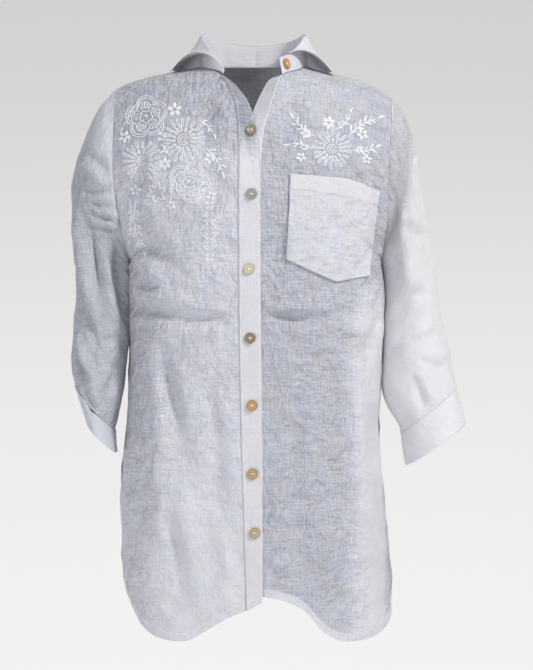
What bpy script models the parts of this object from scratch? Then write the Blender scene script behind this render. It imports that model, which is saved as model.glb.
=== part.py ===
"""A long linen blouse, filled out as worn, with no wearer.

Metres, +Z up, the front faces -Y and the wearer's right is at -X. The origin is the middle of
the neck's base. Every cloth piece is a wall on a surface that a short table of sections gives,
and neighbours stay a seam's gap apart.
"""

import math
from collections import namedtuple

import bmesh
import bpy
import numpy as np
from mathutils import Vector

# Cloth and seams
CLOTH_WALL = 0.0012
BAND_WALL = 0.0016
SEAM = 0.0003
SIDE_FULLNESS = 0.82
SECTION_SAG = 0.25
PANEL_WIDTH = 0.17
SHOULDER_SEAM_ROWS = 0.02
HEM_REACH_ROWS = 2.0

# Armholes: heights of the shoulder point and the underarm, and how far they reach forward and back
UNDERARM_Z = -0.262
SHOULDER_Z = {"right": -0.0196, "left": -0.0330}
ARMHOLE_REACH = 0.058
ARMHOLE_GAP = 0.0006
ARMHOLE_FLANGE = 0.0030
SLIT_TOP_Z = -0.505
SLIT_SPREAD = 0.006
SLIT_RUN = 0.08

# Mesh counts
PANEL_COLUMNS = 11
STEPS_PER_ROW = 3
BACK_STEPS_PER_ROW = 2
BACK_COLUMNS = 18
SLEEVE_SIDES = 18
SLEEVE_STEPS = 2

# Buttons
BUTTON_RADIUS = 0.0073
BUTTON_THICKNESS = 0.0026
BUTTON_STEPS = 16
BUTTON_GAP = 0.0005
# Half of a button's outline from the middle of its face to its underside, in radii and thicknesses
BUTTON_PROFILE = (
    (0.00, 0.78),
    (0.66, 0.88),
    (0.95, 1.00),
    (1.00, 0.55),
    (0.80, 0.00),
    (0.00, 0.00),
)
COLLAR_BUTTON = (7.66, 0.50)

Front = namedtuple("Front", "in_x in_y in_z out turn band_x band_y")
Back = namedtuple("Back", "in_y in_z out turn")
Side = namedtuple("Side", "z right_x left_x")
Arm = namedtuple("Arm", "up right_x left_x")
Ring = namedtuple("Ring", "out_x out_z in_x in_z reach mid_y")
Neck = namedtuple("Neck", "fold_x fold_y fold_z edge_x edge_y edge_z arch")
Fastening = namedtuple("Fastening", "x z")
Fold = namedtuple("Fold", "across row length width depth lean")
# A grid to lay on a surface: place takes a fraction along its columns and one along its rows.
Patch = namedtuple("Patch", "columns rows place flip")

# Front sections from the hem to the shoulder. in_* is the seam to the button band, then the
# neckline. out is a height on the side seam below the armhole, and past it how far up the
# armhole the section ends, counted from 0 at the underarm to 1 at the shoulder point. turn is
# how far the section turns towards the side, and band_* is the button band's width vector.
RIGHT_FRONT = (
    Front(-0.0092, -0.1180, -0.7310, -0.660, 90, 0.0195, 0.000),
    Front(-0.0125, -0.1180, -0.6200, -0.620, 90, 0.0222, 0.000),
    Front(-0.0160, -0.1190, -0.5000, -0.500, 90, 0.0250, 0.000),
    Front(-0.0185, -0.1200, -0.3800, -0.385, 90, 0.0265, 0.000),
    Front(-0.0195, -0.1215, -0.2700, -0.305, 90, 0.0265, 0.000),
    Front(-0.0198, -0.1210, -0.1800, 0.00, 88, 0.0262, 0.000),
    Front(-0.0198, -0.1140, -0.1000, 0.30, 70, 0.0235, 0.002),
    Front(-0.0262, -0.1010, -0.0460, 0.50, 56, 0.0140, 0.013),
    Front(-0.0428, -0.0790, -0.0105, 0.70, 42, 0.0030, 0.022),
    Front(-0.0665, -0.0480, 0.0020, 0.87, 25, 0.0000, 0.000),
    Front(-0.0765, 0.0000, 0.0125, 1.00, 10, 0.0000, 0.000),
)
LEFT_FRONT = (
    Front(0.0104, -0.1157, -0.7125, -0.700, 90, -0.0230, 0.000),
    Front(0.0100, -0.1157, -0.6200, -0.620, 90, -0.0240, 0.000),
    Front(0.0094, -0.1167, -0.5000, -0.500, 90, -0.0250, 0.000),
    Front(0.0080, -0.1177, -0.3800, -0.385, 90, -0.0260, 0.000),
    Front(0.0072, -0.1192, -0.2700, -0.305, 90, -0.0260, 0.000),
    Front(0.0070, -0.1187, -0.1800, 0.00, 88, -0.0260, 0.000),
    Front(0.0101, -0.1115, -0.1000, 0.30, 70, -0.0235, 0.006),
    Front(0.0275, -0.0980, -0.0363, 0.50, 56, -0.0168, 0.017),
    Front(0.0384, -0.0800, -0.0122, 0.70, 42, -0.0135, 0.021),
    Front(0.0585, -0.0440, -0.0005, 0.87, 25, 0.0000, 0.000),
    Front(0.0735, 0.0000, 0.0115, 1.00, 10, 0.0000, 0.000),
)
BAND_TOP_ROW = 8
BAND_SLOPE = {"right": 0.0105, "left": 0.0}
# Back sections from the shoulder down to the hem, from the neckline or the centre back.
BACK_NECK_ROW = 2
BACK_NECK_NARROWING = 0.65
BACK = (
    Back(0.0520, 0.0175, 0.87, 25),
    Back(0.0640, 0.0120, 0.70, 42),
    Back(0.0860, -0.0600, 0.50, 56),
    Back(0.0960, -0.1400, 0.30, 70),
    Back(0.1000, -0.2200, 0.00, 88),
    Back(0.0990, -0.3000, -0.305, 90),
    Back(0.0970, -0.3850, -0.385, 90),
    Back(0.0980, -0.5000, -0.500, 90),
    Back(0.1000, -0.6200, -0.620, 90),
    Back(0.1020, -0.7450, -0.690, 90),
)
SIDE_SEAM = (
    Side(-0.262, -0.1735, 0.1780),
    Side(-0.300, -0.1772, 0.1825),
    Side(-0.385, -0.1752, 0.1790),
    Side(-0.450, -0.1768, 0.1740),
    Side(-0.500, -0.1815, 0.1728),
    Side(-0.560, -0.1872, 0.1768),
    Side(-0.620, -0.1868, 0.1845),
    Side(-0.700, -0.1830, 0.1915),
    Side(-0.775, -0.1830, 0.1940),
)
ARMHOLE = (
    Arm(0.00, -0.1735, 0.1780),
    Arm(0.30, -0.1860, 0.1808),
    Arm(0.50, -0.1940, 0.1832),
    Arm(0.70, -0.1935, 0.1875),
    Arm(0.87, -0.1932, 0.1902),
    Arm(1.00, -0.1930, 0.1915),
)
# Hem heights across each front at even steps of the section's turn, from the band to the side.
RIGHT_HEM = (-0.731, -0.742, -0.758, -0.7725, -0.7735, -0.770, -0.759, -0.739, -0.715, -0.695, -0.660)
LEFT_HEM = (-0.7125, -0.719, -0.732, -0.761, -0.775, -0.7755, -0.7735, -0.767, -0.758, -0.742, -0.700)
BACK_HEM = (-0.745, -0.746, -0.748, -0.750, -0.752, -0.753, -0.752, -0.746, -0.735, -0.718, -0.690)

# Sleeve rings after the armhole: the points farthest out and in, the half depth and the middle.
RIGHT_SLEEVE = (
    Ring(-0.2150, -0.042, -0.1825, -0.258, 0.062, 0.000),
    Ring(-0.2380, -0.090, -0.1880, -0.260, 0.064, 0.000),
    Ring(-0.2570, -0.155, -0.1895, -0.270, 0.064, 0.000),
    Ring(-0.2545, -0.215, -0.1830, -0.295, 0.062, 0.000),
    Ring(-0.2505, -0.270, -0.1803, -0.330, 0.059, -0.002),
    Ring(-0.2500, -0.325, -0.1792, -0.365, 0.056, -0.006),
    Ring(-0.2550, -0.385, -0.1787, -0.405, 0.053, -0.012),
    Ring(-0.2535, -0.412, -0.1815, -0.440, 0.050, -0.017),
    Ring(-0.2485, -0.433, -0.1950, -0.496, 0.046, -0.021),
)
RIGHT_CUFF = (
    Ring(-0.2480, -0.4352, -0.1947, -0.4978, 0.0464, -0.0214),
    Ring(-0.2300, -0.486, -0.1920, -0.526, 0.049, -0.030),
)
LEFT_SLEEVE = (
    Ring(0.2045, -0.050, 0.1870, -0.258, 0.062, 0.000),
    Ring(0.2210, -0.088, 0.1900, -0.260, 0.064, 0.002),
    Ring(0.2300, -0.140, 0.1895, -0.272, 0.064, 0.004),
    Ring(0.2400, -0.192, 0.1870, -0.295, 0.062, 0.005),
    Ring(0.2500, -0.250, 0.1845, -0.330, 0.059, 0.004),
    Ring(0.2575, -0.315, 0.1826, -0.370, 0.056, 0.001),
    Ring(0.2680, -0.372, 0.1802, -0.412, 0.053, -0.004),
    Ring(0.2745, -0.408, 0.1805, -0.452, 0.050, -0.009),
    Ring(0.2806, -0.4375, 0.2035, -0.4995, 0.046, -0.014),
)
LEFT_CUFF = (
    Ring(0.2807, -0.4383, 0.2036, -0.5002, 0.0462, -0.0141),
    Ring(0.2916, -0.485, 0.2100, -0.5435, 0.049, -0.024),
)

# Collar stations from the right front end round the back of the neck to the left front end:
# the fold at the top of the stand, the leaf's edge, and how far the leaf arches between them.
COLLAR = (
    Neck(-0.0415, -0.077, -0.0030, -0.1180, -0.036, -0.0022, 0.0260),
    Neck(-0.0560, -0.048, 0.0210, -0.1175, -0.016, 0.0040, 0.0090),
    Neck(-0.0728, -0.003, 0.0550, -0.1150, 0.010, 0.0080, -0.0060),
    Neck(-0.0480, 0.050, 0.0530, -0.0880, 0.080, 0.0080, 0.0020),
    Neck(0.0000, 0.062, 0.0500, 0.0000, 0.098, 0.0040, 0.0040),
    Neck(0.0460, 0.050, 0.0530, 0.0860, 0.080, 0.0075, 0.0020),
    Neck(0.0688, -0.003, 0.0550, 0.1075, 0.010, 0.0065, -0.0060),
    Neck(0.0525, -0.045, 0.0260, 0.1095, -0.014, 0.0015, 0.0090),
    Neck(0.0340, -0.077, 0.0120, 0.1110, -0.034, -0.0070, 0.0270),
)
COLLAR_STEPS = 4
NECK_CENTRE_Y = -0.01
STAND_CLEARANCE = 0.0008
LEAF_COLUMNS = 5
LEAF_OFFSET = 0.0020
LEAF_RISE = 0.0022
LEAF_LEFT_START = 0.55

# Button centres down the right band.
BUTTONS = (
    Fastening(-0.0025, -0.0905),
    Fastening(-0.0038, -0.1765),
    Fastening(-0.0072, -0.2762),
    Fastening(-0.0058, -0.3680),
    Fastening(-0.0032, -0.4577),
    Fastening(-0.0025, -0.5488),
    Fastening(0.0001, -0.6273),
)

# The pocket's corners on the left front, as x and z: across the top edge, then the bottom.
POCKET_TOP = ((0.0474, -0.1485), (0.0880, -0.1515), (0.1290, -0.1550), (0.1690, -0.1680))
POCKET_BOTTOM = ((0.0428, -0.2630), (0.0760, -0.2790), (0.1090, -0.2930), (0.1560, -0.2840))
POCKET_COLUMNS = 10
POCKET_ROWS = 8
POCKET_GAP = 0.0015
# Where the search for a place on a front starts, how far it may go, and for how many rounds
LOCATE_START = (4.5, 0.4)
LOCATE_LIMIT = (9.9, 0.99)
LOCATE_ROUNDS = 12

# Broad folds: where they lie on a front, in fractions across and in sections up, and their size.
RIGHT_FOLDS = (
    Fold(0.62, 1.6, 2.2, 0.10, 0.0045, 0.02),
    Fold(0.30, 1.0, 1.8, 0.12, -0.0030, -0.02),
    Fold(0.78, 4.6, 1.2, 0.10, 0.0040, -0.06),
)
LEFT_FOLDS = (
    Fold(0.58, 1.5, 2.0, 0.11, 0.0045, -0.02),
    Fold(0.30, 1.1, 1.6, 0.12, -0.0030, 0.03),
    Fold(0.80, 3.4, 1.4, 0.10, 0.0035, 0.04),
)


def read(table, at):
    """The smooth curve through a table's rows, at a row number that may be fractional."""
    rows = np.asarray(table, dtype=float)
    last = len(rows) - 1
    at = min(max(at, 0.0), float(last))
    first = min(int(at), last - 1)
    part = at - first
    here, there = rows[first], rows[first + 1]
    before = rows[first - 1] if first else 2 * here - there
    after = rows[first + 2] if first + 2 <= last else 2 * there - here
    slope_in, slope_out = (there - before) / 2, (after - here) / 2
    square, cube = part * part, part * part * part
    return (
        (2 * cube - 3 * square + 1) * here
        + (cube - 2 * square + part) * slope_in
        + (3 * square - 2 * cube) * there
        + (cube - square) * slope_out
    )


def by_key(table, key, column):
    """A named column of a table whose first column runs evenly up or down, at a key."""
    keys = np.array([row[0] for row in table])
    values = np.array([getattr(row, column) for row in table])
    order = np.argsort(keys)
    return float(np.interp(key, keys[order], values[order]))


def armhole(side, up, facing):
    """A point of the armhole: up from 0 at the underarm to 1 at the shoulder, facing -1 in front."""
    angle = math.pi * up
    z = UNDERARM_Z + (SHOULDER_Z[side] - UNDERARM_Z) * (1 - math.cos(angle)) / 2
    return np.array([by_key(ARMHOLE, up, side + "_x"), facing * ARMHOLE_REACH * math.sin(angle), z])


def side_end(side, out, facing):
    """Where a section ends at the side: on the side seam for a height, else on the armhole."""
    if out >= 0:
        return armhole(side, out, facing)
    x = by_key(SIDE_SEAM, out, side + "_x")
    below = min(max((SLIT_TOP_Z - out) / SLIT_RUN, 0.0), 1.0)
    return np.array([x, facing * SLIT_SPREAD * below, out])


def section(inner, outer, turn, across):
    """A point across a section, from its inner end at 0 to its outer end at 1."""
    angle, full = math.radians(turn) * across, math.radians(turn)
    out = math.sin(angle) / math.sin(full)
    bend = 1 - max(math.cos(full), 0.0) ** SIDE_FULLNESS
    back = (1 - max(math.cos(angle), 0.0) ** SIDE_FULLNESS) / bend
    drop = out * (1 - SECTION_SAG * math.sin(math.pi * out))
    return inner + (outer - inner) * np.array([out, back, drop])


def fold_lift(folds, across, row):
    """How far the broad folds lift the cloth at a place on a front."""
    lift = 0.0
    for fold in folds:
        off = across - fold.across - fold.lean * (row - fold.row)
        along = (row - fold.row) / (fold.length / 2)
        lift += fold.depth * math.exp(-((off / fold.width) ** 2) - along * along)
    return lift


def end_of(rows, side, row, facing):
    """The outer end of the section at a row number."""
    first = min(int(row), len(rows) - 2)
    part = row - first
    here, there = rows[first].out, rows[first + 1].out
    if (here >= 0) == (there >= 0):
        return side_end(side, here + (there - here) * part, facing)
    low, high = side_end(side, here, facing), side_end(side, there, facing)
    return low + (high - low) * part


def front_point(side, row, across):
    """A point on the outside of a front, at a row number and a fraction across."""
    rows, hem, folds = FRONTS[side]
    line = Front(*read(rows, row))
    inner = np.array([line.in_x, line.in_y, line.in_z])
    point = section(inner, end_of(rows, side, row, -1), line.turn, across)
    near_hem = max(0.0, 1 - row / HEM_REACH_ROWS)
    if near_hem:
        straight = section(*hem_ends(rows, side), rows[0].turn, across)[2]
        point[2] += (np.interp(across, np.linspace(0, 1, len(hem)), hem) - straight) * near_hem
    point[1] -= fold_lift(folds, across, row)
    return point


def hem_ends(rows, side):
    """The inner and outer ends of a front's lowest section."""
    low = rows[0]
    return np.array([low.in_x, low.in_y, low.in_z]), side_end(side, low.out, -1)


def back_rows(side):
    """The back's sections from the shoulder down, each as inner point, place on the side and turn."""
    shoulder = FRONTS[side][0][-1]
    rows = [(shoulder.in_x, shoulder.in_y, shoulder.in_z, shoulder.turn)]
    for index, row in enumerate(BACK):
        x = shoulder.in_x * BACK_NECK_NARROWING if index == 0 else 0.0
        rows.append((x, row.in_y, row.in_z, row.turn))
    return rows


def back_point(side, row, across):
    """A point on the outside of the back, across from the middle at 0 to the side at 1."""
    x, y, z, turn = read(back_rows(side), row)
    if row >= BACK_NECK_ROW:
        x = 0.0
    sections = (Back(y, z, 1.0, turn),) + BACK
    point = section(np.array([x, y, z]), end_of(sections, side, row, 1), turn, across)
    near_hem = max(0.0, 1 - (len(BACK) - row) / HEM_REACH_ROWS)
    if near_hem:
        low = BACK[-1]
        ends = np.array([0, low.in_y, low.in_z]), side_end(side, low.out, 1)
        straight = section(*ends, low.turn, across)[2]
        point[2] += (np.interp(across, np.linspace(0, 1, len(BACK_HEM)), BACK_HEM) - straight) * near_hem
    return point


FRONTS = {
    "right": (RIGHT_FRONT, RIGHT_HEM, RIGHT_FOLDS),
    "left": (LEFT_FRONT, LEFT_HEM, LEFT_FOLDS),
}


def cloth_material(name, colour):
    """A matte woven finish of the given colour."""
    material = bpy.data.materials.get(name) or bpy.data.materials.new(name)
    material.use_nodes = True
    shader = material.node_tree.nodes["Principled BSDF"]
    shader.inputs["Base Color"].default_value = (*colour, 1)
    shader.inputs["Roughness"].default_value = 0.85
    shader.inputs["Metallic"].default_value = 0.0
    return material


def add_object(name, mesh, collection, material):
    """Puts a mesh into the blouse's collection under a node's name."""
    obj = bpy.data.objects.new(name, mesh)
    mesh.materials.append(material)
    collection.objects.link(obj)
    return obj


def lay(grid, patch):
    """Lays one patch's grid on its surface, and turns its faces outwards."""
    made = bmesh.ops.create_grid(grid, x_segments=patch.columns, y_segments=patch.rows, size=1)
    faces = {face for vertex in made["verts"] for face in vertex.link_faces}
    for vertex in made["verts"]:
        vertex.co = patch.place((vertex.co.x + 1) / 2, (vertex.co.y + 1) / 2)
    if patch.flip:
        bmesh.ops.reverse_faces(grid, faces=list(faces))


def cloth(name, patches, wall, collection, material):
    """A cloth piece: grids laid on its surface and merged where they meet, given a wall inwards."""
    grid = bmesh.new()
    for patch in patches:
        lay(grid, patch)
    bmesh.ops.remove_doubles(grid, verts=grid.verts, dist=1e-6)
    mesh = bpy.data.meshes.new(name)
    grid.to_mesh(mesh)
    grid.free()
    mesh.shade_smooth()
    obj = add_object(name, mesh, collection, material)
    solid = obj.modifiers.new("Wall", "SOLIDIFY")
    solid.thickness = wall
    solid.offset = -1
    solid.use_rim = True
    return obj


def front(side, collection, material):
    """A front panel, from the band's seam to the side and from the hem to the shoulder."""
    last = len(RIGHT_FRONT) - 1
    seam = SEAM / PANEL_WIDTH

    def place(u, v):
        across = seam + (1 - 2 * seam) * u
        return front_point(side, v * (last - SHOULDER_SEAM_ROWS), across)

    patch = Patch(PANEL_COLUMNS, STEPS_PER_ROW * last, place, side == "right")
    return cloth("front_" + side, [patch], CLOTH_WALL, collection, material)


def back(collection, material):
    """The back panel: two halves, from the shoulders to the hem, that meet below the neck."""
    last = len(BACK)
    patches = []
    for side in FRONTS:

        def place(u, v, side=side):
            row = (1 - v) * last
            return back_point(side, max(row, SHOULDER_SEAM_ROWS), u * (1 - SEAM / PANEL_WIDTH))

        patches.append(Patch(BACK_COLUMNS // 2, BACK_STEPS_PER_ROW * last, place, side == "left"))
    return cloth("back", patches, CLOTH_WALL, collection, material)


def ring_point(ring, turn_fraction):
    """A point on a sleeve's ring, from the outer side round the front to the back."""
    angle = 2 * math.pi * turn_fraction
    outer, inner = np.array([ring.out_x, ring.out_z]), np.array([ring.in_x, ring.in_z])
    middle, half = (outer + inner) / 2, (outer - inner) / 2
    x, z = middle + half * math.cos(angle)
    return np.array([x, ring.mid_y - ring.reach * math.sin(angle), z])


def armhole_ring(side, turn_fraction, shift):
    """A point on the sleeve's first ring, which follows the armhole, moved out by shift."""
    angle = 2 * math.pi * turn_fraction
    up = 1 - turn_fraction * 2 if turn_fraction <= 0.5 else turn_fraction * 2 - 1
    facing = -1 if math.sin(angle) >= 0 else 1
    point = armhole(side, up, facing)
    point[0] += shift * (-1 if side == "right" else 1)
    return point


def sleeve(side, rings, collection, material):
    """A sleeve, from the armhole to the cuff's seam."""
    count = len(rings)

    def place(u, v):
        if v == 0:
            return armhole_ring(side, u, ARMHOLE_GAP)
        row = v * (count * SLEEVE_STEPS + 1) - 1
        if row < 0.5:
            return armhole_ring(side, u, ARMHOLE_FLANGE)
        start = [tuple(armhole_ring(side, u, ARMHOLE_FLANGE))]
        line = start + [tuple(ring_point(ring, u)) for ring in rings]
        return read(line, row / SLEEVE_STEPS)

    patch = Patch(SLEEVE_SIDES, count * SLEEVE_STEPS + 1, place, side == "right")
    return cloth("sleeve_" + side, [patch], CLOTH_WALL, collection, material)


def cuff(side, rings, collection, material):
    """A cuff, a band round the end of the sleeve."""

    def place(u, v):
        return read([tuple(ring_point(ring, u)) for ring in rings], v)

    patch = Patch(SLEEVE_SIDES, 2, place, side == "right")
    return cloth("cuff_" + side, [patch], BAND_WALL, collection, material)


def band_point(side, row, across):
    """A point on the outside of a button band, across from the front's seam to the free edge.

    Where the band folds back from the front, its wall starts far enough off to clear the front's.
    """
    line = Front(*read(FRONTS[side][0], row))
    slope = BAND_SLOPE[side] * max(0.0, 1 - row)
    width = np.array([line.band_x, line.band_y, slope])
    folded = math.atan2(line.band_y, abs(line.band_x))
    start = SEAM + BAND_WALL * math.tan(folded / 2)
    length = np.linalg.norm(width)
    return front_point(side, row, 0.0) + width * (start / length + across)


def placket(side, collection, material):
    """A button band along a front's edge, from the hem to the neckline."""

    def place(u, v):
        return band_point(side, v * BAND_TOP_ROW, u)

    patch = Patch(2, STEPS_PER_ROW * BAND_TOP_ROW, place, side == "left")
    return cloth("placket_" + side, [patch], BAND_WALL, collection, material)


def outward(point):
    """The level direction from the neck's middle towards a point."""
    away = np.array([point[0], point[1] - NECK_CENTRE_Y, 0.0])
    return away / np.linalg.norm(away)


def neckline(station):
    """A point of the neck seam at a collar station, on the fronts' or the back's own edge."""
    if station <= 2:
        return front_point("right", BAND_TOP_ROW + station, 0.0)
    if station <= 4:
        return back_point("right", station - 2, 0.0)
    if station <= 6:
        return back_point("left", 6 - station, 0.0)
    return front_point("left", 2 * BAND_TOP_ROW - station, 0.0)


def stand_point(station, up):
    """A point on the outside of the stand, from the neck seam up to the collar's fold."""
    line = Neck(*read(COLLAR, station))
    low = neckline(station) + np.array([0, 0, STAND_CLEARANCE])
    high = np.array([line.fold_x, line.fold_y, line.fold_z])
    return low + (high - low) * up


def collar_stand(collection, material):
    """The stand, from the neck seam up to the collar's fold."""
    last = len(COLLAR) - 1

    def place(u, v):
        return stand_point(u * last, v)

    patch = Patch(COLLAR_STEPS * last, 1, place, True)
    return cloth("collar_stand", [patch], BAND_WALL, collection, material)


def collar_leaf(collection, material):
    """The leaf, from the fold out and down to its edge on the shoulders."""
    last = len(COLLAR) - 1

    def place(u, v):
        line = Neck(*read(COLLAR, u * (last - LEAF_LEFT_START)))
        fold = np.array([line.fold_x, line.fold_y, line.fold_z])
        start = fold + outward(fold) * LEAF_OFFSET + np.array([0, 0, LEAF_RISE])
        edge = np.array([line.edge_x, line.edge_y, line.edge_z])
        point = start + (edge - start) * v
        point[2] += line.arch * 4 * v * (1 - v)
        return point

    patch = Patch(COLLAR_STEPS * last, LEAF_COLUMNS, place, False)
    return cloth("collar_leaf", [patch], BAND_WALL, collection, material)


def locate(side, x, z):
    """The row and fraction across at which a front shows a given x and z."""
    guess = np.array(LOCATE_START)
    step = 1e-4
    for _ in range(LOCATE_ROUNDS):
        here = front_point(side, *guess)[[0, 2]]
        by_row = (front_point(side, guess[0] + step, guess[1])[[0, 2]] - here) / step
        by_across = (front_point(side, guess[0], guess[1] + step)[[0, 2]] - here) / step
        move = np.linalg.solve(np.column_stack([by_row, by_across]), np.array([x, z]) - here)
        guess = np.clip(guess + move, (0.0, 0.0), LOCATE_LIMIT)
    return guess


def normal_at(side, row, across):
    """The outward direction of a front at a place on it."""
    step = 1e-3
    here = front_point(side, row, across)
    up = front_point(side, row + step, across) - here
    along = front_point(side, row, across + step) - here
    return unit_normal(along, up)


def on_front(side, x, z, lift):
    """The point over a given x and z, lifted off a front."""
    row, across = locate(side, x, z)
    return front_point(side, row, across) + normal_at(side, row, across) * lift


def pocket(collection, material):
    """The patch pocket, made from the left front's points, moved out."""
    lift = CLOTH_WALL + POCKET_GAP

    def place(u, v):
        bottom = read(POCKET_BOTTOM, u * 3)
        top = read(POCKET_TOP, u * 3)
        x, z = bottom + (top - bottom) * v
        return on_front("left", x, z, lift)

    patch = Patch(POCKET_COLUMNS, POCKET_ROWS, place, False)
    return cloth("pocket", [patch], CLOTH_WALL, collection, material)


def button(name, centre, facing, collection, material):
    """A turned button with a raised rim, lying on the cloth with its face outwards."""
    mesh = bpy.data.meshes.new(name)
    points = [(radius * BUTTON_RADIUS, 0.0, height * BUTTON_THICKNESS) for radius, height in BUTTON_PROFILE]
    mesh.from_pydata(points, [(i, i + 1) for i in range(len(points) - 1)], [])
    obj = add_object(name, mesh, collection, material)
    turn = obj.modifiers.new("Turn", "SCREW")
    turn.steps = turn.render_steps = BUTTON_STEPS
    turn.use_merge_vertices = True
    turn.merge_threshold = 0.0001
    turn.use_smooth_shade = True
    obj.location = centre
    obj.rotation_mode = "QUATERNION"
    obj.rotation_quaternion = Vector((0, 0, 1)).rotation_difference(Vector(facing))
    return obj


def row_at(side, z):
    """The row number at which a front's inner edge has a given height."""
    low, high = 0.0, float(BAND_TOP_ROW)
    for _ in range(40):
        middle = (low + high) / 2
        if front_point(side, middle, 0.0)[2] < z:
            low = middle
        else:
            high = middle
    return low


def unit_normal(along, up):
    """The unit vector square to two directions, on the side that faces forwards."""
    normal = np.cross(along, up)
    normal /= np.linalg.norm(normal)
    return normal if normal[1] < 0 else -normal


def band_buttons(collection, material):
    """The buttons down the right band, each seated on the band's own points."""
    step = 0.15
    for number, place in enumerate(BUTTONS, 1):
        row = row_at("right", place.z)
        start, end = band_point("right", row, 0.0), band_point("right", row, 1.0)
        across = (place.x - start[0]) / (end[0] - start[0])
        along = band_point("right", row + step, across) - band_point("right", row - step, across)
        facing = unit_normal(end - start, along)
        seat = band_point("right", row, across) + facing * BUTTON_GAP
        button("button_%d" % number, seat, facing, collection, material)


def collar_button(collection, material):
    """The button on the left end of the stand."""
    station, up = COLLAR_BUTTON
    step = 0.1
    along = stand_point(station + step, up) - stand_point(station - step, up)
    facing = unit_normal(along, stand_point(station, 1.0) - stand_point(station, 0.0))
    seat = stand_point(station, up) + facing * BUTTON_GAP
    button("button_collar", seat, facing, collection, material)


def clear_scene():
    """Removes what the startup scene holds."""
    for obj in list(bpy.data.objects):
        bpy.data.objects.remove(obj)


def main():
    """Builds every piece of the blouse."""
    clear_scene()
    blouse = bpy.data.collections.new("blouse")
    bpy.context.scene.collection.children.link(blouse)
    linen = (0.86, 0.87, 0.90)
    front("right", blouse, cloth_material("linen_front_right", linen))
    front("left", blouse, cloth_material("linen_front_left", linen))
    back(blouse, cloth_material("linen_back", linen))
    sleeve("right", RIGHT_SLEEVE, blouse, cloth_material("linen_sleeve_right", linen))
    sleeve("left", LEFT_SLEEVE, blouse, cloth_material("linen_sleeve_left", linen))
    cuff("right", RIGHT_CUFF, blouse, cloth_material("linen_cuff_right", linen))
    cuff("left", LEFT_CUFF, blouse, cloth_material("linen_cuff_left", linen))
    placket("right", blouse, cloth_material("linen_band_right", linen))
    placket("left", blouse, cloth_material("linen_band_left", linen))
    collar_stand(blouse, cloth_material("linen_stand", linen))
    collar_leaf(blouse, cloth_material("linen_leaf", linen))
    pocket(blouse, cloth_material("linen_pocket", linen))
    band_buttons(blouse, cloth_material("shell", (0.62, 0.52, 0.36)))
    collar_button(blouse, cloth_material("shell_collar", (0.70, 0.52, 0.28)))


main()
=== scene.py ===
"""The looks of a long white linen blouse, filled out as worn with no wearer.

Metres, +Z up, the front faces -Y and the wearer's right is at -X. Each cloth piece is a thin
shell on the same surface as its solid, with its creases, hems, stitches and stitched flowers.
"""

from __future__ import annotations

import logging
import math
from dataclasses import astuple, dataclass
from enum import Enum
from typing import Callable, Iterable, Sequence

import bpy
import numpy as np
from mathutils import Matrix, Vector


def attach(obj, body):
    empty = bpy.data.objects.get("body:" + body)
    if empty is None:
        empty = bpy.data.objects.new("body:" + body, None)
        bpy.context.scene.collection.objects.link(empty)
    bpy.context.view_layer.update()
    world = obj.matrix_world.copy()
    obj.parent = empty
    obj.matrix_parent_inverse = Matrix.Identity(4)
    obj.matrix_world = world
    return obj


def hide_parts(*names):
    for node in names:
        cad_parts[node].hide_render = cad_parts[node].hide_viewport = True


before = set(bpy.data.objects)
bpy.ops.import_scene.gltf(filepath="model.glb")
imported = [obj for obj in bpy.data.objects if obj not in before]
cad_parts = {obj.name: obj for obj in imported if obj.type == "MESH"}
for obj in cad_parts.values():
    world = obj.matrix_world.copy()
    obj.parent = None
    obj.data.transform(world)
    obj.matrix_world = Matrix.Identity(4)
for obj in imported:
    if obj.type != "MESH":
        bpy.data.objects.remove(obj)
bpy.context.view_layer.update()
LOG = logging.getLogger("blouse")

Colour = tuple[float, float, float]
Points = np.ndarray


class Side(Enum):
    """The wearer's sides."""

    RIGHT = "right"
    LEFT = "left"

    @property
    def sign(self) -> int:
        """Returns -1 for the right, which lies at -X, and 1 for the left."""
        return -1 if self is Side.RIGHT else 1


class Facing(Enum):
    """Which half of the blouse a crease lies on, by the sign of y."""

    FRONT = -1
    BACK = 1


# ---------------------------------------------------------------- shader maths


class Val:
    """A number on a node's socket, with the arithmetic that the finishes use."""

    def __init__(self, graph: Graph, socket: bpy.types.NodeSocket) -> None:
        """Wraps a socket.

        Args:
            graph: The material that the socket is in.
            socket: The output socket.
        """
        self.graph = graph
        self.socket = socket

    def _math(self, operation: str, *others: Val | float, swap: bool = False) -> Val:
        """Adds a Math node.

        Args:
            operation: The Math node's operation.
            others: The other values.
            swap: Whether this value comes second.

        Returns:
            The result.
        """
        values = [self, *others]
        if swap:
            values.reverse()
        return self.graph.value("ShaderNodeMath", {"operation": operation}, dict(enumerate(values)))

    def __add__(self, other: Val | float) -> Val:
        """Returns the sum."""
        return self._math("ADD", other)

    __radd__ = __add__

    def __sub__(self, other: Val | float) -> Val:
        """Returns this value less the other."""
        return self._math("SUBTRACT", other)

    def __rsub__(self, other: float) -> Val:
        """Returns the other value less this one."""
        return self._math("SUBTRACT", other, swap=True)

    def __mul__(self, other: Val | float) -> Val:
        """Returns the product."""
        return self._math("MULTIPLY", other)

    __rmul__ = __mul__

    def sine(self) -> Val:
        """Returns the sine, of radians."""
        return self._math("SINE")

    def peak(self, other: Val | float) -> Val:
        """Returns the larger of this value and the other."""
        return self._math("MAXIMUM", other)

    def ramp(self, low: float, high: float) -> Val:
        """Maps a range to 0 to 1, softly at both ends.

        Args:
            low: The value that gives 0.
            high: The value that gives 1.

        Returns:
            The mapped value.
        """
        settings = {"interpolation_type": "SMOOTHSTEP"}
        return self.graph.value("ShaderNodeMapRange", settings, {0: self, 1: low, 2: high})


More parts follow.
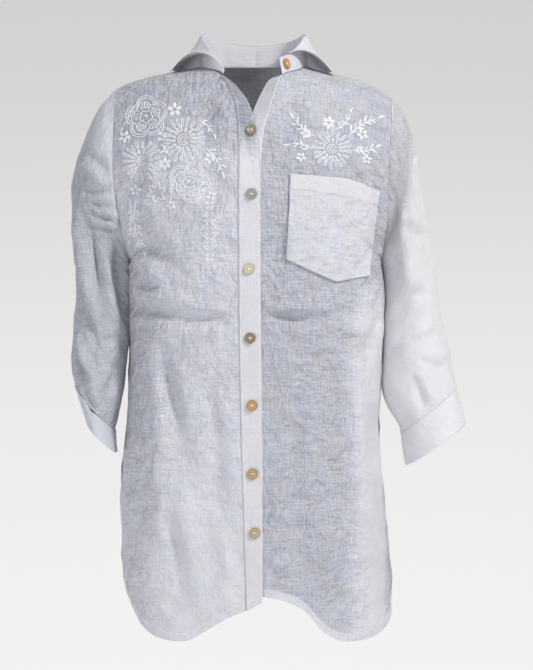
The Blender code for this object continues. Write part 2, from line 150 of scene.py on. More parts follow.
class Graph:
    """A material's nodes, ending in one Principled shader."""

    def __init__(self, name: str) -> None:
        """Starts a material with its shader and output.

        Args:
            name: The material's name.
        """
        self.material = bpy.data.materials.new(name)
        self.material.use_nodes = True
        self.tree = self.material.node_tree
        self.tree.nodes.clear()
        self.shader = self.node("ShaderNodeBsdfPrincipled", {}, {})
        self.node("ShaderNodeOutputMaterial", {}, {"Surface": self.shader.outputs[0]})

    def node(self, kind: str, settings: dict, sockets: dict) -> bpy.types.Node:
        """Adds a node.

        Args:
            kind: The node's type.
            settings: Its own settings, set first.
            sockets: Values or links for its input sockets, by number or name.

        Returns:
            The node.
        """
        made = self.tree.nodes.new(kind)
        for name, setting in settings.items():
            setattr(made, name, setting)
        for key, value in sockets.items():
            self.feed(made.inputs[key], value)
        return made

    def feed(self, target: bpy.types.NodeSocket, value: object) -> None:
        """Links or sets an input socket.

        Args:
            target: The input socket.
            value: A Val, an output socket, or a plain value.
        """
        if isinstance(value, Val):
            self.tree.links.new(value.socket, target)
        elif isinstance(value, bpy.types.NodeSocket):
            self.tree.links.new(value, target)
        else:
            target.default_value = value

    def value(self, kind: str, settings: dict, sockets: dict, output: int | str = 0) -> Val:
        """Adds a node and wraps one of its outputs.

        Args:
            kind: The node's type.
            settings: Its own settings.
            sockets: Values or links for its inputs.
            output: The output's number or name.

        Returns:
            The wrapped output.
        """
        return Val(self, self.node(kind, settings, sockets).outputs[output])

    def noise(self, where: Sequence[Val | float], detail: float = 2.0) -> Val:
        """Adds soft noise at a place.

        Args:
            where: The place's three coordinates, already scaled.
            detail: How much finer noise is added.

        Returns:
            The noise, about 0.5 on the whole.
        """
        place = self.node("ShaderNodeCombineXYZ", {}, dict(enumerate(where)))
        sockets = {"Vector": place.outputs[0], "Scale": 1.0, "Detail": detail}
        return self.value("ShaderNodeTexNoise", {}, sockets)

    def blend(self, factor: Val | float, low: object, high: object) -> bpy.types.NodeSocket:
        """Mixes two colours.

        Args:
            factor: 0 for the first and 1 for the second.
            low: The first colour or its socket.
            high: The second colour or its socket.

        Returns:
            The mixed colour's socket.
        """
        made = self.node("ShaderNodeMix", {"data_type": "RGBA"}, {0: factor, 6: low, 7: high})
        return made.outputs[2]

    def split(self, place: bpy.types.NodeSocket) -> list[Val]:
        """Returns a place's x, y and z."""
        return [Val(self, socket) for socket in self.node("ShaderNodeSeparateXYZ", {}, {0: place}).outputs]

    def cloth_place(self) -> list[Val]:
        """Returns the place across and along the piece's own UV map, in metres."""
        return self.split(self.node("ShaderNodeUVMap", {"uv_map": "cloth"}, {}).outputs[0])[:2]

    def bumped(self, height: Val, strength: float) -> bpy.types.NodeSocket:
        """Returns the normals that a height in metres gives, at a strength up to 1."""
        sockets = {"Strength": strength, "Distance": 1.0, "Height": height}
        return self.node("ShaderNodeBump", {}, sockets).outputs[0]

    def finish(self, sockets: dict[str, object]) -> bpy.types.Material:
        """Sets the shader's sockets.

        Args:
            sockets: Values or links, by the sockets' names.

        Returns:
            The material.
        """
        for name, value in sockets.items():
            self.feed(self.shader.inputs[name], value)
        return self.material


def rgba(colour: Colour) -> tuple[float, float, float, float]:
    """Returns a colour with full opacity."""
    return (*colour, 1.0)


# ---------------------------------------------------------------- finishes


@dataclass(frozen=True)
class Linen:
    """Open plain-woven linen, slubbed both ways, whiter and denser where it lies double. Its single and thin colours
    are darker as painted shade of the garment's inside seen through it, and its layers attribute also carries the light
    and shade that the pieces paint on.
    """

    name: str
    # grey, blue and thin are painted shade: darker than double cloth, for the garment's inside seen through single
    # cloth
    grey: Colour = (0.62, 0.62, 0.665)
    blue: Colour = (0.63, 0.66, 0.775)
    double: Colour = (0.65, 0.645, 0.68)
    thin: Colour = (0.42, 0.425, 0.50)
    slub: Colour = (0.90, 0.90, 0.93)
    crumple: float = 1.0
    yarn_width: float = 0.0009
    yarn_length: float = 0.020
    thread_pitch: float = 0.0007
    clouds: float = 36.0
    tints: float = 26.0
    crumples: float = 52.0
    wrinkles: tuple[float, float] = (190.0, 130.0)
    crumple_height: float = 0.018
    wrinkle_height: float = 0.0050
    thread_height: float = 0.00008
    yarn_height: float = 0.00040
    roughness: float = 0.85
    openness: float = 0.34

    def yarns(self, graph: Graph, along: Val, across: Val, size: float, seed: float) -> Val:
        """Makes the thick and thin places of the yarns that run one way.

        Args:
            graph: The material.
            along: The cloth coordinate along the yarns.
            across: The cloth coordinate across them.
            size: How large the places are, as a multiple of the usual.
            seed: Sets the pattern.

        Returns:
            About 0.5 on the whole, less on thin places and more on thick ones.
        """
        where = (along * (1 / (size * self.yarn_length)), across * (1 / (size * self.yarn_width)), seed)
        return graph.noise(where, 2.0)

    def make(self) -> bpy.types.Material:
        """Builds the material, which reads the cloth's own UV map in metres.

        Returns:
            The material.
        """
        graph = Graph(self.name)
        weft, warp = graph.cloth_place()
        layers = graph.value("ShaderNodeAttribute", {"attribute_name": "layers"}, {}, "Fac")
        fine = self.yarns(graph, weft, warp, 1.0, 2.0) + self.yarns(graph, warp, weft, 1.0, 9.0)
        broad = self.yarns(graph, weft, warp, 2.1, 4.0) + self.yarns(graph, warp, weft, 2.1, 6.0)
        grain = (fine * 0.6 + broad * 0.4).ramp(0.78, 1.22)
        slubs = self.yarns(graph, weft, warp, 1.4, 12.0).peak(self.yarns(graph, warp, weft, 1.4, 15.0))
        slubs = slubs.ramp(0.66, 0.84)
        cloudy = graph.noise((weft * self.clouds, warp * self.clouds, 3.0), 4.0).ramp(0.34, 0.66)
        tinted = graph.noise((weft * self.tints, warp * self.tints, 20.0), 3.0).ramp(0.40, 0.60)
        # The layers attribute gives double cloth plus the pieces' painted light and shade; the darker single-cloth
        # colours are painted shade of the inside seen through.
        cover = (layers + cloudy * 0.50 - 0.10).ramp(-0.35, 1.15)
        single = graph.blend(tinted, rgba(self.grey), rgba(self.blue))
        ground = graph.blend(cover, single, rgba(self.double))
        low = graph.blend(cover * 0.75 + 0.25, rgba(self.thin), ground)
        colour = graph.blend(grain, low, ground)
        colour = graph.blend(slubs * 0.8, colour, rgba(self.slub))
        turn = math.pi / self.thread_pitch
        cells = (weft * turn).sine() * (warp * turn).sine()
        crumpled = graph.noise((weft * self.crumples, warp * self.crumples, 8.0), 4.0)
        wrinkled = graph.noise((weft * self.wrinkles[0], warp * self.wrinkles[1], 5.0), 2.0)
        loose = (1.1 - layers * 1.2).peak(0.08) * self.crumple
        rough = ((crumpled - 0.5) * self.crumple_height + (wrinkled - 0.5) * self.wrinkle_height) * loose
        height = cells * self.thread_height + grain * self.yarn_height + slubs * self.yarn_height + rough
        return graph.finish({
            "Base Color": colour,
            "Roughness": self.roughness - slubs * 0.08,
            "Alpha": grain * 0.22 + slubs * 0.2 + layers * 0.5 + (1 - self.openness),
            "Normal": graph.bumped(height, 0.9),
            "Specular IOR Level": 0.2,
            "Sheen Weight": 0.08,
            "Sheen Roughness": 0.5,
            "Subsurface Weight": 0.2,
            "Subsurface Radius": (1.0, 1.0, 1.0),
            "Subsurface Scale": 0.004,
        })


@dataclass(frozen=True)
class Thread:
    """White cotton thread with a soft lustre, twisted along its length."""

    name: str
    colour: Colour = (0.87, 0.88, 0.91)
    shade: Colour = (0.72, 0.73, 0.78)
    twist_pitch: float = 0.0011
    twist_height: float = 0.00012
    roughness: float = 0.55

    def make(self) -> bpy.types.Material:
        """Builds the material, which reads the thread's own UV map in metres.

        Returns:
            The material.
        """
        graph = Graph(self.name)
        along, across = graph.cloth_place()
        twist = ((along * 1.0 + across * 1.6) * (2 * math.pi / self.twist_pitch)).sine()
        worn = graph.noise((along * 220.0, across * 220.0, 1.0))
        colour = graph.blend((twist * 0.3 + worn).ramp(0.1, 0.75), rgba(self.shade), rgba(self.colour))
        return graph.finish({
            "Base Color": colour,
            "Roughness": self.roughness + worn * 0.1,
            "Normal": graph.bumped(twist * self.twist_height, 0.7),
            "Sheen Weight": 0.2,
            "Specular IOR Level": 0.4,
        })


@dataclass(frozen=True)
class Shell:
    """Polished natural shell with a rind round the rim and cloudy growth lines."""

    name: str
    face: Colour
    rim: Colour
    radius: float
    centre: tuple[float, float, float]

    def make(self) -> bpy.types.Material:
        """Builds the material, which reads object coordinates about the button's centre.

        Returns:
            The material.
        """
        graph = Graph(self.name)
        where = graph.node("ShaderNodeTexCoord", {}, {}).outputs["Object"]
        back = {"Vector": where, "Location": tuple(-value for value in self.centre)}
        moved = graph.node("ShaderNodeMapping", {"vector_type": "POINT"}, back).outputs[0]
        x, _, z = graph.split(moved)
        size = graph.value("ShaderNodeVectorMath", {"operation": "LENGTH"}, {0: moved}, 1)
        lines = graph.noise((x * 900.0, z * 260.0, 2.0), 3.0)
        edge = (size + lines * 0.0012).ramp(self.radius * 0.78, self.radius * 1.08)
        face = graph.blend(lines.ramp(0.3, 0.75) * 0.5, rgba(self.face), rgba(self.rim))
        colour = graph.blend(edge, face, rgba(self.rim))
        return graph.finish({
            "Base Color": colour,
            "Roughness": lines * 0.25 + 0.30,
            "Coat Weight": 0.25,
            "Coat Roughness": 0.3,
        })


@dataclass(frozen=True)
class Backdrop:
    """A studio sweep of dark matte paint that glows, paler towards the floor: its brightness is painted light."""

    name: str = "backdrop"
    paint: Colour = (0.12, 0.12, 0.12)
    low: Colour = (0.79, 0.79, 0.79)
    high: Colour = (0.565, 0.565, 0.565)
    from_z: float = -1.19
    to_z: float = 1.04

    def make(self) -> bpy.types.Material:
        """Builds the material.

        Returns:
            The material.
        """
        graph = Graph(self.name)
        where = graph.node("ShaderNodeTexCoord", {}, {}).outputs["Object"]
        rise = graph.split(where)[2].ramp(self.from_z, self.to_z)
        return graph.finish({
            "Base Color": rgba(self.paint),
            "Roughness": 0.95,
            "Specular IOR Level": 0.1,
            # painted light: the sweep's glow, stronger towards the floor
            "Emission Color": graph.blend(rise, rgba(self.low), rgba(self.high)),
            "Emission Strength": 1.0,
        })


# ---------------------------------------------------------------- the blouse's sizes


@dataclass(frozen=True)
class FrontRow:
    """A front's section: its inner end, its place on the side, its turn and the band's width."""

    in_x: float
    in_y: float
    in_z: float
    out: float
    turn: float
    band_x: float
    band_y: float


@dataclass(frozen=True)
class BackRow:
    """A back section: its middle, its place on the side and its turn."""

    in_y: float
    in_z: float
    out: float
    turn: float


@dataclass(frozen=True)
class Ring:
    """A sleeve's ring: its points farthest out and in, its half depth and its middle."""

    out_x: float
    out_z: float
    in_x: float
    in_z: float
    reach: float
    mid_y: float


@dataclass(frozen=True)
class Neck:
    """A collar station: the fold, the leaf's edge and the arch between them."""

    fold_x: float
    fold_y: float
    fold_z: float
    edge_x: float
    edge_y: float
    edge_z: float
    arch: float


@dataclass(frozen=True)
class Fold:
    """A broad fold of a front, in fractions across and sections up."""

    across: float
    row: float
    length: float
    width: float
    depth: float
    lean: float


@dataclass(frozen=True)
class FrontCut:
    """One front's tables: its sections, hem heights, folds, side seam, armhole and shoulder."""

    rows: tuple[FrontRow, ...]
    hem: tuple[float, ...]
    folds: tuple[Fold, ...]
    seam_x: tuple[float, ...]
    armhole_x: tuple[float, ...]
    shoulder_z: float
    band_slope: float


@dataclass(frozen=True)
class SleeveCut:
    """One sleeve's rings, its cuff's, and the ring from which it hangs free of the body."""

    rings: tuple[Ring, ...]
    cuff: tuple[Ring, Ring]
    free_row: float


@dataclass(frozen=True)
class Sizes:
    """Sizes that the pieces share, in metres, and row numbers of the tables."""

    cloth: float = 0.0007
    double: float = 0.0012
    seam: float = 0.0003
    hem: float = 0.0115
    hem_stitches: float = 0.0100
    pocket_wall: float = 0.00071
    side_fullness: float = 0.82
    underarm_z: float = -0.262
    armhole_reach: float = 0.058
    slit_top_z: float = -0.505
    slit_spread: float = 0.006
    back_neck_narrowing: float = 0.65
    back_neck_row: int = 2
    band_top_row: int = 8
    band_wall: float = 0.0016
    band_tuck: float = 0.0016
    stand_clearance: float = 0.0008
    leaf_offset: float = 0.0020
    leaf_rise: float = 0.0022
    leaf_left_start: float = 0.55
    pocket_lift: float = 0.0027
    button_radius: float = 0.0073
    button_thickness: float = 0.0026
    button_gap: float = 0.0005


SIZES = Sizes()
# Heights on the side seam, and fractions up the armhole, for each front's seam_x and armhole_x.
SEAM_Z = (-0.262, -0.300, -0.385, -0.450, -0.500, -0.560, -0.620, -0.700, -0.775)
ARMHOLE_UP = (0.0, 0.30, 0.50, 0.70, 0.87, 1.0)
FRONTS = {
    Side.RIGHT: FrontCut(
        rows=(
            FrontRow(-0.0092, -0.1180, -0.7310, -0.660, 90, 0.0195, 0.000),
            FrontRow(-0.0125, -0.1180, -0.6200, -0.620, 90, 0.0222, 0.000),
            FrontRow(-0.0160, -0.1190, -0.5000, -0.500, 90, 0.0250, 0.000),
            FrontRow(-0.0185, -0.1200, -0.3800, -0.385, 90, 0.0265, 0.000),
            FrontRow(-0.0195, -0.1215, -0.2700, -0.305, 90, 0.0265, 0.000),
            FrontRow(-0.0198, -0.1210, -0.1800, 0.00, 88, 0.0262, 0.000),
            FrontRow(-0.0198, -0.1140, -0.1000, 0.30, 70, 0.0235, 0.002),
            FrontRow(-0.0262, -0.1010, -0.0460, 0.50, 56, 0.0140, 0.013),
            FrontRow(-0.0428, -0.0790, -0.0105, 0.70, 42, 0.0030, 0.022),
            FrontRow(-0.0665, -0.0480, 0.0020, 0.87, 25, 0.0000, 0.000),
            FrontRow(-0.0765, 0.0000, 0.0125, 1.00, 10, 0.0000, 0.000),
        ),
        hem=(-0.731, -0.742, -0.758, -0.7725, -0.7735, -0.770, -0.759, -0.739, -0.715, -0.695, -0.660),
        folds=(
            Fold(0.62, 1.6, 2.2, 0.10, 0.0045, 0.02),
            Fold(0.30, 1.0, 1.8, 0.12, -0.0030, -0.02),
            Fold(0.78, 4.6, 1.2, 0.10, 0.0040, -0.06),
        ),
        seam_x=(-0.1735, -0.1772, -0.1752, -0.1768, -0.1815, -0.1872, -0.1868, -0.1830, -0.1830),
        armhole_x=(-0.1735, -0.1860, -0.1940, -0.1935, -0.1932, -0.1930),
        shoulder_z=-0.0196,
        band_slope=0.0105,
    ),
    Side.LEFT: FrontCut(
        rows=(
            FrontRow(0.0104, -0.1157, -0.7125, -0.700, 90, -0.0230, 0.000),
            FrontRow(0.0100, -0.1157, -0.6200, -0.620, 90, -0.0240, 0.000),
            FrontRow(0.0094, -0.1167, -0.5000, -0.500, 90, -0.0250, 0.000),
            FrontRow(0.0080, -0.1177, -0.3800, -0.385, 90, -0.0260, 0.000),
            FrontRow(0.0072, -0.1192, -0.2700, -0.305, 90, -0.0260, 0.000),
            FrontRow(0.0070, -0.1187, -0.1800, 0.00, 88, -0.0260, 0.000),
            FrontRow(0.0101, -0.1115, -0.1000, 0.30, 70, -0.0235, 0.006),
            FrontRow(0.0275, -0.0980, -0.0363, 0.50, 56, -0.0168, 0.017),
            FrontRow(0.0384, -0.0800, -0.0122, 0.70, 42, -0.0135, 0.021),
            FrontRow(0.0585, -0.0440, -0.0005, 0.87, 25, 0.0000, 0.000),
            FrontRow(0.0735, 0.0000, 0.0115, 1.00, 10, 0.0000, 0.000),
        ),
        hem=(-0.7125, -0.719, -0.732, -0.761, -0.775, -0.7755, -0.7735, -0.767, -0.758, -0.742, -0.700),
        folds=(
            Fold(0.58, 1.5, 2.0, 0.11, 0.0045, -0.02),
            Fold(0.30, 1.1, 1.6, 0.12, -0.0030, 0.03),
            Fold(0.80, 3.4, 1.4, 0.10, 0.0035, 0.04),
        ),
        seam_x=(0.1780, 0.1825, 0.1790, 0.1740, 0.1728, 0.1768, 0.1845, 0.1915, 0.1940),
        armhole_x=(0.1780, 0.1808, 0.1832, 0.1875, 0.1902, 0.1915),
        shoulder_z=-0.0330,
        band_slope=0.0,
    ),
}
BACK_ROWS = (
    BackRow(0.0520, 0.0175, 0.87, 25),
    BackRow(0.0640, 0.0120, 0.70, 42),
    BackRow(0.0860, -0.0600, 0.50, 56),
    BackRow(0.0960, -0.1400, 0.30, 70),
    BackRow(0.1000, -0.2200, 0.00, 88),
    BackRow(0.0990, -0.3000, -0.305, 90),
    BackRow(0.0970, -0.3850, -0.385, 90),
    BackRow(0.0980, -0.5000, -0.500, 90),
    BackRow(0.1000, -0.6200, -0.620, 90),
    BackRow(0.1020, -0.7450, -0.690, 90),
)
BACK_HEM = (-0.745, -0.746, -0.748, -0.750, -0.752, -0.753, -0.752, -0.746, -0.735, -0.718, -0.690)
SLEEVES = {
    Side.RIGHT: SleeveCut(
        rings=(
            Ring(-0.2150, -0.042, -0.1825, -0.258, 0.062, 0.000),
            Ring(-0.2380, -0.090, -0.1880, -0.260, 0.064, 0.000),
            Ring(-0.2570, -0.155, -0.1895, -0.270, 0.064, 0.000),
            Ring(-0.2545, -0.215, -0.1830, -0.295, 0.062, 0.000),
            Ring(-0.2505, -0.270, -0.1803, -0.330, 0.059, -0.002),
            Ring(-0.2500, -0.325, -0.1792, -0.365, 0.056, -0.006),
            Ring(-0.2550, -0.385, -0.1787, -0.405, 0.053, -0.012),
            Ring(-0.2535, -0.412, -0.1815, -0.440, 0.050, -0.017),
            Ring(-0.2485, -0.433, -0.1950, -0.496, 0.046, -0.021),
        ),
        cuff=(
            Ring(-0.2480, -0.4352, -0.1947, -0.4978, 0.0464, -0.0214),
            Ring(-0.2300, -0.486, -0.1920, -0.526, 0.049, -0.030),
        ),
        free_row=7.0,
    ),
    Side.LEFT: SleeveCut(
        rings=(
            Ring(0.2045, -0.050, 0.1870, -0.258, 0.062, 0.000),
            Ring(0.2210, -0.088, 0.1900, -0.260, 0.064, 0.002),
            Ring(0.2300, -0.140, 0.1895, -0.272, 0.064, 0.004),
            Ring(0.2400, -0.192, 0.1870, -0.295, 0.062, 0.005),
            Ring(0.2500, -0.250, 0.1845, -0.330, 0.059, 0.004),
            Ring(0.2575, -0.315, 0.1826, -0.370, 0.056, 0.001),
            Ring(0.2680, -0.372, 0.1802, -0.412, 0.053, -0.004),
            Ring(0.2745, -0.408, 0.1805, -0.452, 0.050, -0.009),
            Ring(0.2806, -0.4375, 0.2035, -0.4995, 0.046, -0.014),
        ),
        cuff=(
            Ring(0.2807, -0.4383, 0.2036, -0.5002, 0.0462, -0.0141),
            Ring(0.2916, -0.485, 0.2100, -0.5435, 0.049, -0.024),
        ),
        free_row=8.0,
    ),
}
COLLAR = (
    Neck(-0.0415, -0.077, -0.0030, -0.1180, -0.036, -0.0022, 0.0260),
    Neck(-0.0560, -0.048, 0.0210, -0.1175, -0.016, 0.0040, 0.0090),
    Neck(-0.0728, -0.003, 0.0550, -0.1150, 0.010, 0.0080, -0.0060),
    Neck(-0.0480, 0.050, 0.0530, -0.0880, 0.080, 0.0080, 0.0020),
    Neck(0.0000, 0.062, 0.0500, 0.0000, 0.098, 0.0040, 0.0040),
    Neck(0.0460, 0.050, 0.0530, 0.0860, 0.080, 0.0075, 0.0020),
    Neck(0.0688, -0.003, 0.0550, 0.1075, 0.010, 0.0065, -0.0060),
    Neck(0.0525, -0.045, 0.0260, 0.1095, -0.014, 0.0015, 0.0090),
    Neck(0.0340, -0.077, 0.0120, 0.1110, -0.034, -0.0070, 0.0270),
)
# Button centres down the right band as x and z, the collar button's station and height on the
# stand, and the pocket's corners on the left front as x and z.
BUTTONS = (
    (-0.0025, -0.0905),
    (-0.0038, -0.1765),
    (-0.0072, -0.2762),
    (-0.0058, -0.3680),
    (-0.0032, -0.4577),
    (-0.0025, -0.5488),
    (0.0001, -0.6273),
)
COLLAR_BUTTON = (7.66, 0.50)
POCKET_TOP = ((0.0474, -0.1485), (0.0880, -0.1515), (0.1290, -0.1550), (0.1690, -0.1680))
POCKET_BOTTOM = ((0.0428, -0.2630), (0.0760, -0.2790), (0.1090, -0.2930), (0.1560, -0.2840))


# ---------------------------------------------------------------- surfaces


def between(before: Points, here: Points, there: Points, after: Points, part: Points) -> Points:
    """Finds points on the smooth curve from one stop to the next.

    Args:
        before: The stop before the first.
        here: The first stop.
        there: The next stop.
        after: The stop after that.
        part: 0 at the first stop to 1 at the next.

    Returns:
        The points.
    """
    square, cube = part**2, part**3
    value = (2 * cube - 3 * square + 1) * here + (cube - 2 * square + part) * (there - before) / 2
    return value + (3 * square - 2 * cube) * there + (cube - square) * (after - here) / 2


def curve(table: Iterable, at: Points) -> Points:
    """Reads the smooth curve through a table's rows.

    Args:
        table: Rows of numbers.
        at: Row numbers, which may be fractional.

    Returns:
        One row for each place.
    """
    rows = np.asarray([np.atleast_1d(row) for row in table], dtype=float)
    last = len(rows) - 1
    at = np.clip(np.atleast_1d(np.asarray(at, dtype=float)), 0, last)
    first = np.minimum(at.astype(int), last - 1)
    part = (at - first)[:, None]
    padded = np.vstack([2 * rows[:1] - rows[1:2], rows, 2 * rows[-1:] - rows[-2:-1]])
    return between(*(padded[first + step] for step in range(4)), part)


def rows_of(table: Iterable) -> list[tuple]:
    """Returns a table of dataclass rows as plain tuples."""
    return [astuple(row) for row in table]


def softened(at: Points, keys: Sequence[float], values: Sequence[float], reach: float) -> Points:
    """Reads a table by key, with its corners rounded off.

    Args:
        at: Where to read.
        keys: The keys, which run one way.
        values: The values at the keys.
        reach: How far each side the reading is averaged.

    Returns:
        The values.
    """
    order = np.argsort(keys)
    keys, values = np.asarray(keys)[order], np.asarray(values)[order]
    return np.mean([np.interp(at + off, keys, values) for off in np.linspace(-reach, reach, 7)], 0)


def smooth(value: Points | float, low: float, high: float) -> Points:
    """Returns a soft step from 0 at low to 1 at high."""
    part = np.clip((value - low) / (high - low), 0, 1)
    return part * part * (3 - 2 * part)


def bell(value: Points, middle: float, width: float) -> Points:
    """Returns 1 at the middle, dying away to either side over the width."""
    return np.exp(-(((value - middle) / width) ** 2))


def unit(vectors: Points) -> Points:
    """Returns vectors brought to length 1."""
    return vectors / np.maximum(np.linalg.norm(vectors, axis=-1, keepdims=True), 1e-9)


def ray(turn: Points | float) -> Points:
    """Returns a step of length 1 for each heading in radians."""
    return np.stack([np.cos(turn), np.sin(turn)], -1)


def aside(step: Points) -> Points:
    """Returns a flat step turned a quarter turn to its left."""
    return np.array([-step[1], step[0]])


def reach_along(path: Points) -> Points:
    """Returns how far along a path each of its points lies."""
    return np.concatenate([[0], np.cumsum(np.linalg.norm(np.diff(path, axis=0), axis=1))])


def armhole(side: Side, up: Points, facing: int) -> Points:
    """Finds points of the armhole.

    Args:
        side: The wearer's side.
        up: 0 at the underarm to 1 at the shoulder point.
        facing: -1 for the front half and 1 for the back.

    Returns:
        The points.
    """
    cut, angle = FRONTS[side], math.pi * up
    z = SIZES.underarm_z + (cut.shoulder_z - SIZES.underarm_z) * (1 - np.cos(angle)) / 2
    x = softened(up, ARMHOLE_UP, cut.armhole_x, 0.05)
    return np.stack([x, facing * SIZES.armhole_reach * np.sin(angle), z], -1)


def side_end(side: Side, out: Points, facing: int) -> Points:
    """Finds where sections end at the side: below the armhole, at a height, else on the armhole.

    Args:
        side: The wearer's side.
        out: Heights on the side seam, or fractions up the armhole from 0.
        facing: -1 for the front half and 1 for the back.

    Returns:
        The points.
    """
    below = np.clip((SIZES.slit_top_z - out) / 0.08, 0, 1)
    x = softened(out, SEAM_Z, FRONTS[side].seam_x, 0.02)
    seam = np.stack([x, facing * SIZES.slit_spread * below, out], -1)
    return np.where(out[:, None] >= 0, armhole(side, np.maximum(out, 0), facing), seam)


def ends_of(outs: Sequence[float], side: Side, row: Points, facing: int) -> Points:
    """Finds the outer ends of sections at fractional row numbers.

    Args:
        outs: The table's places on the side.
        side: The wearer's side.
        row: The row numbers.
        facing: -1 for the front half and 1 for the back.

    Returns:
        The points.
    """
    outs = np.asarray(outs, dtype=float)
    first = np.minimum(row.astype(int), len(outs) - 2)
    part = row - first
    here, there = outs[first], outs[first + 1]
    low, high = side_end(side, here, facing), side_end(side, there, facing)
    along = side_end(side, here + (there - here) * part, facing)
    same = ((here >= 0) == (there >= 0))[:, None]
    return np.where(same, along, low + (high - low) * part[:, None])


def section(inner: Points, outer: Points, turn: Points, across: Points) -> Points:
    """Finds points across sections that turn towards the side.

    Args:
        inner: The inner ends.
        outer: The outer ends.
        turn: How far the sections turn, in degrees.
        across: 0 at the inner end to 1 at the outer.

    Returns:
        The points.
    """
    full = np.radians(turn)
    angle = full * across
    out = np.sin(angle) / np.sin(full)
    bend = 1 - np.maximum(np.cos(full), 0) ** SIZES.side_fullness
    back = (1 - np.maximum(np.cos(angle), 0) ** SIZES.side_fullness) / bend
    drop = out * (1 - 0.25 * np.sin(math.pi * out))
    return inner + (outer - inner) * np.stack([out, back, drop], -1)


def front_points(side: Side, row: Points, across: Points) -> Points:
    """Finds points on the outside of a front.

    Args:
        side: The wearer's side.
        row: Section numbers up from the hem.
        across: 0 at the band's seam to 1 at the side.

    Returns:
        The points.
    """
    cut = FRONTS[side]
    line = curve(rows_of(cut.rows), row)
    outs = [item.out for item in cut.rows]
    point = section(line[:, :3], ends_of(outs, side, row, -1), line[:, 4], across)
    low = cut.rows[0]
    inner = np.array([[low.in_x, low.in_y, low.in_z]])
    straight = section(inner, side_end(side, np.array([low.out]), -1), np.full(row.shape, low.turn), across)
    hem = curve(cut.hem, across * (len(cut.hem) - 1))[:, 0]
    point[:, 2] += (hem - straight[:, 2]) * np.maximum(0, 1 - row / 2)
    for fold in cut.folds:
        off = (across - fold.across - fold.lean * (row - fold.row)) / fold.width
        along = (row - fold.row) / (fold.length / 2)
        point[:, 1] -= fold.depth * np.exp(-(off**2) - along**2)
    return point


def back_points(side: Side, row: Points, across: Points) -> Points:
    """Finds points on the outside of one half of the back.

    Args:
        side: The wearer's side.
        row: Section numbers down from the shoulder.
        across: 0 at the middle to 1 at the side.

    Returns:
        The points.
    """
    top = FRONTS[side].rows[-1]
    rows = [(top.in_x, top.in_y, top.in_z, top.turn)]
    for index, item in enumerate(BACK_ROWS):
        x = top.in_x * SIZES.back_neck_narrowing if index == 0 else 0.0
        rows.append((x, item.in_y, item.in_z, item.turn))
    line = curve(rows, row)
    line[:, 0] = np.where(row >= SIZES.back_neck_row, 0.0, line[:, 0])
    outs = [1.0] + [item.out for item in BACK_ROWS]
    point = section(line[:, :3], ends_of(outs, side, row, 1), line[:, 3], across)
    low = BACK_ROWS[-1]
    ends = np.array([[0, low.in_y, low.in_z]]), side_end(side, np.array([low.out]), 1)
    straight = section(*ends, np.full(row.shape, low.turn), across)
    hem = curve(BACK_HEM, across * (len(BACK_HEM) - 1))[:, 0]
    point[:, 2] += (hem - straight[:, 2]) * np.maximum(0, 1 - (len(BACK_ROWS) - row) / 2)
    return point


def ring_points(rings: Points, around: Points) -> Points:
    """Finds points on sleeve rings.

    Args:
        rings: One ring's six sizes for each point.
        around: Turns, from the outer side round the front to the back.

    Returns:
        The points.
    """
    angle = 2 * math.pi * around
    out_x, out_z, in_x, in_z, reach, mid_y = rings.T
    x = (out_x + in_x) / 2 + (out_x - in_x) / 2 * np.cos(angle)
    z = (out_z + in_z) / 2 + (out_z - in_z) / 2 * np.cos(angle)
    return np.stack([x, mid_y - reach * np.sin(angle), z], -1)


def sleeve_points(side: Side, row: Points, around: Points) -> Points:
    """Finds points on a sleeve.

    Args:
        side: The wearer's side.
        row: 0 at the armhole, then the ring numbers.
        around: Turns, from the outer side round the front to the back.

    Returns:
        The points.
    """
    turn = np.mod(around, 1.0)
    up = np.abs(1 - 2 * turn)
    head = np.where((turn < 0.5)[:, None], armhole(side, up, -1), armhole(side, up, 1))
    start = head + np.array([0.0002 * side.sign, 0, 0])
    table = rows_of(SLEEVES[side].rings)
    rings = [ring_points(np.tile(np.array(ring), (len(turn), 1)), turn) for ring in table]
    stops = np.stack([2 * start - rings[0], start, *rings, 2 * rings[-1] - rings[-2]])
    first = np.clip(row.astype(int), 0, len(rings) - 1)
    part = (row - first)[:, None]
    pick = np.arange(len(turn))
    point = between(*(stops[first + step, pick] for step in range(4)), part)
    free = SLEEVES[side].free_row
    pressed = bell(turn, 0.45, 0.08) * smooth(row, 0.0, 0.7) * (1 - smooth(row, free - 1.6, free + 0.4))
    point[:, 0] -= side.sign * (0.0068 + 0.0120 * bell(row, 1.9, 2.0)) * pressed
    return point


# ---------------------------------------------------------------- creases


@dataclass(frozen=True)
class Crease:
    """A soft ridge, or a trough if its height is negative, between two places.

    Places are x and z as seen from the front. bow is how far its middle bends sideways.
    """

    start: tuple[float, float]
    end: tuple[float, float]
    width: float
    height: float
    bow: float = 0.0
    facing: Facing = Facing.FRONT

    def lift(self, points: Points, normals: Points) -> Points:
        """Finds how far the crease moves each point along its normal.

        Args:
            points: Places on the cloth.
            normals: Their outward directions.

        Returns:
            The distances.
        """
        start, end = np.array(self.start), np.array(self.end)
        run = end - start
        length = np.linalg.norm(run)
        run = run / length
        offset = points[..., [0, 2]] - start
        along = (offset @ run) / length
        across = offset @ aside(run) - self.bow * 4 * along * (1 - along)
        taper = smooth(along, -0.12, 0.25) * (1 - smooth(along, 0.7, 1.12))
        swell = 0.8 + 0.2 * np.sin(9 * along + 40 * length)
        near = across / (self.width * (0.75 + 0.5 * smooth(along, 0.0, 1.0)))
        shape = np.exp(-(near**2)) - 0.35 * np.exp(-((near - 1.9) ** 2))
        return self.height * shape * taper * swell * smooth(normals[..., 1] * self.facing.value, 0.05, 0.45)


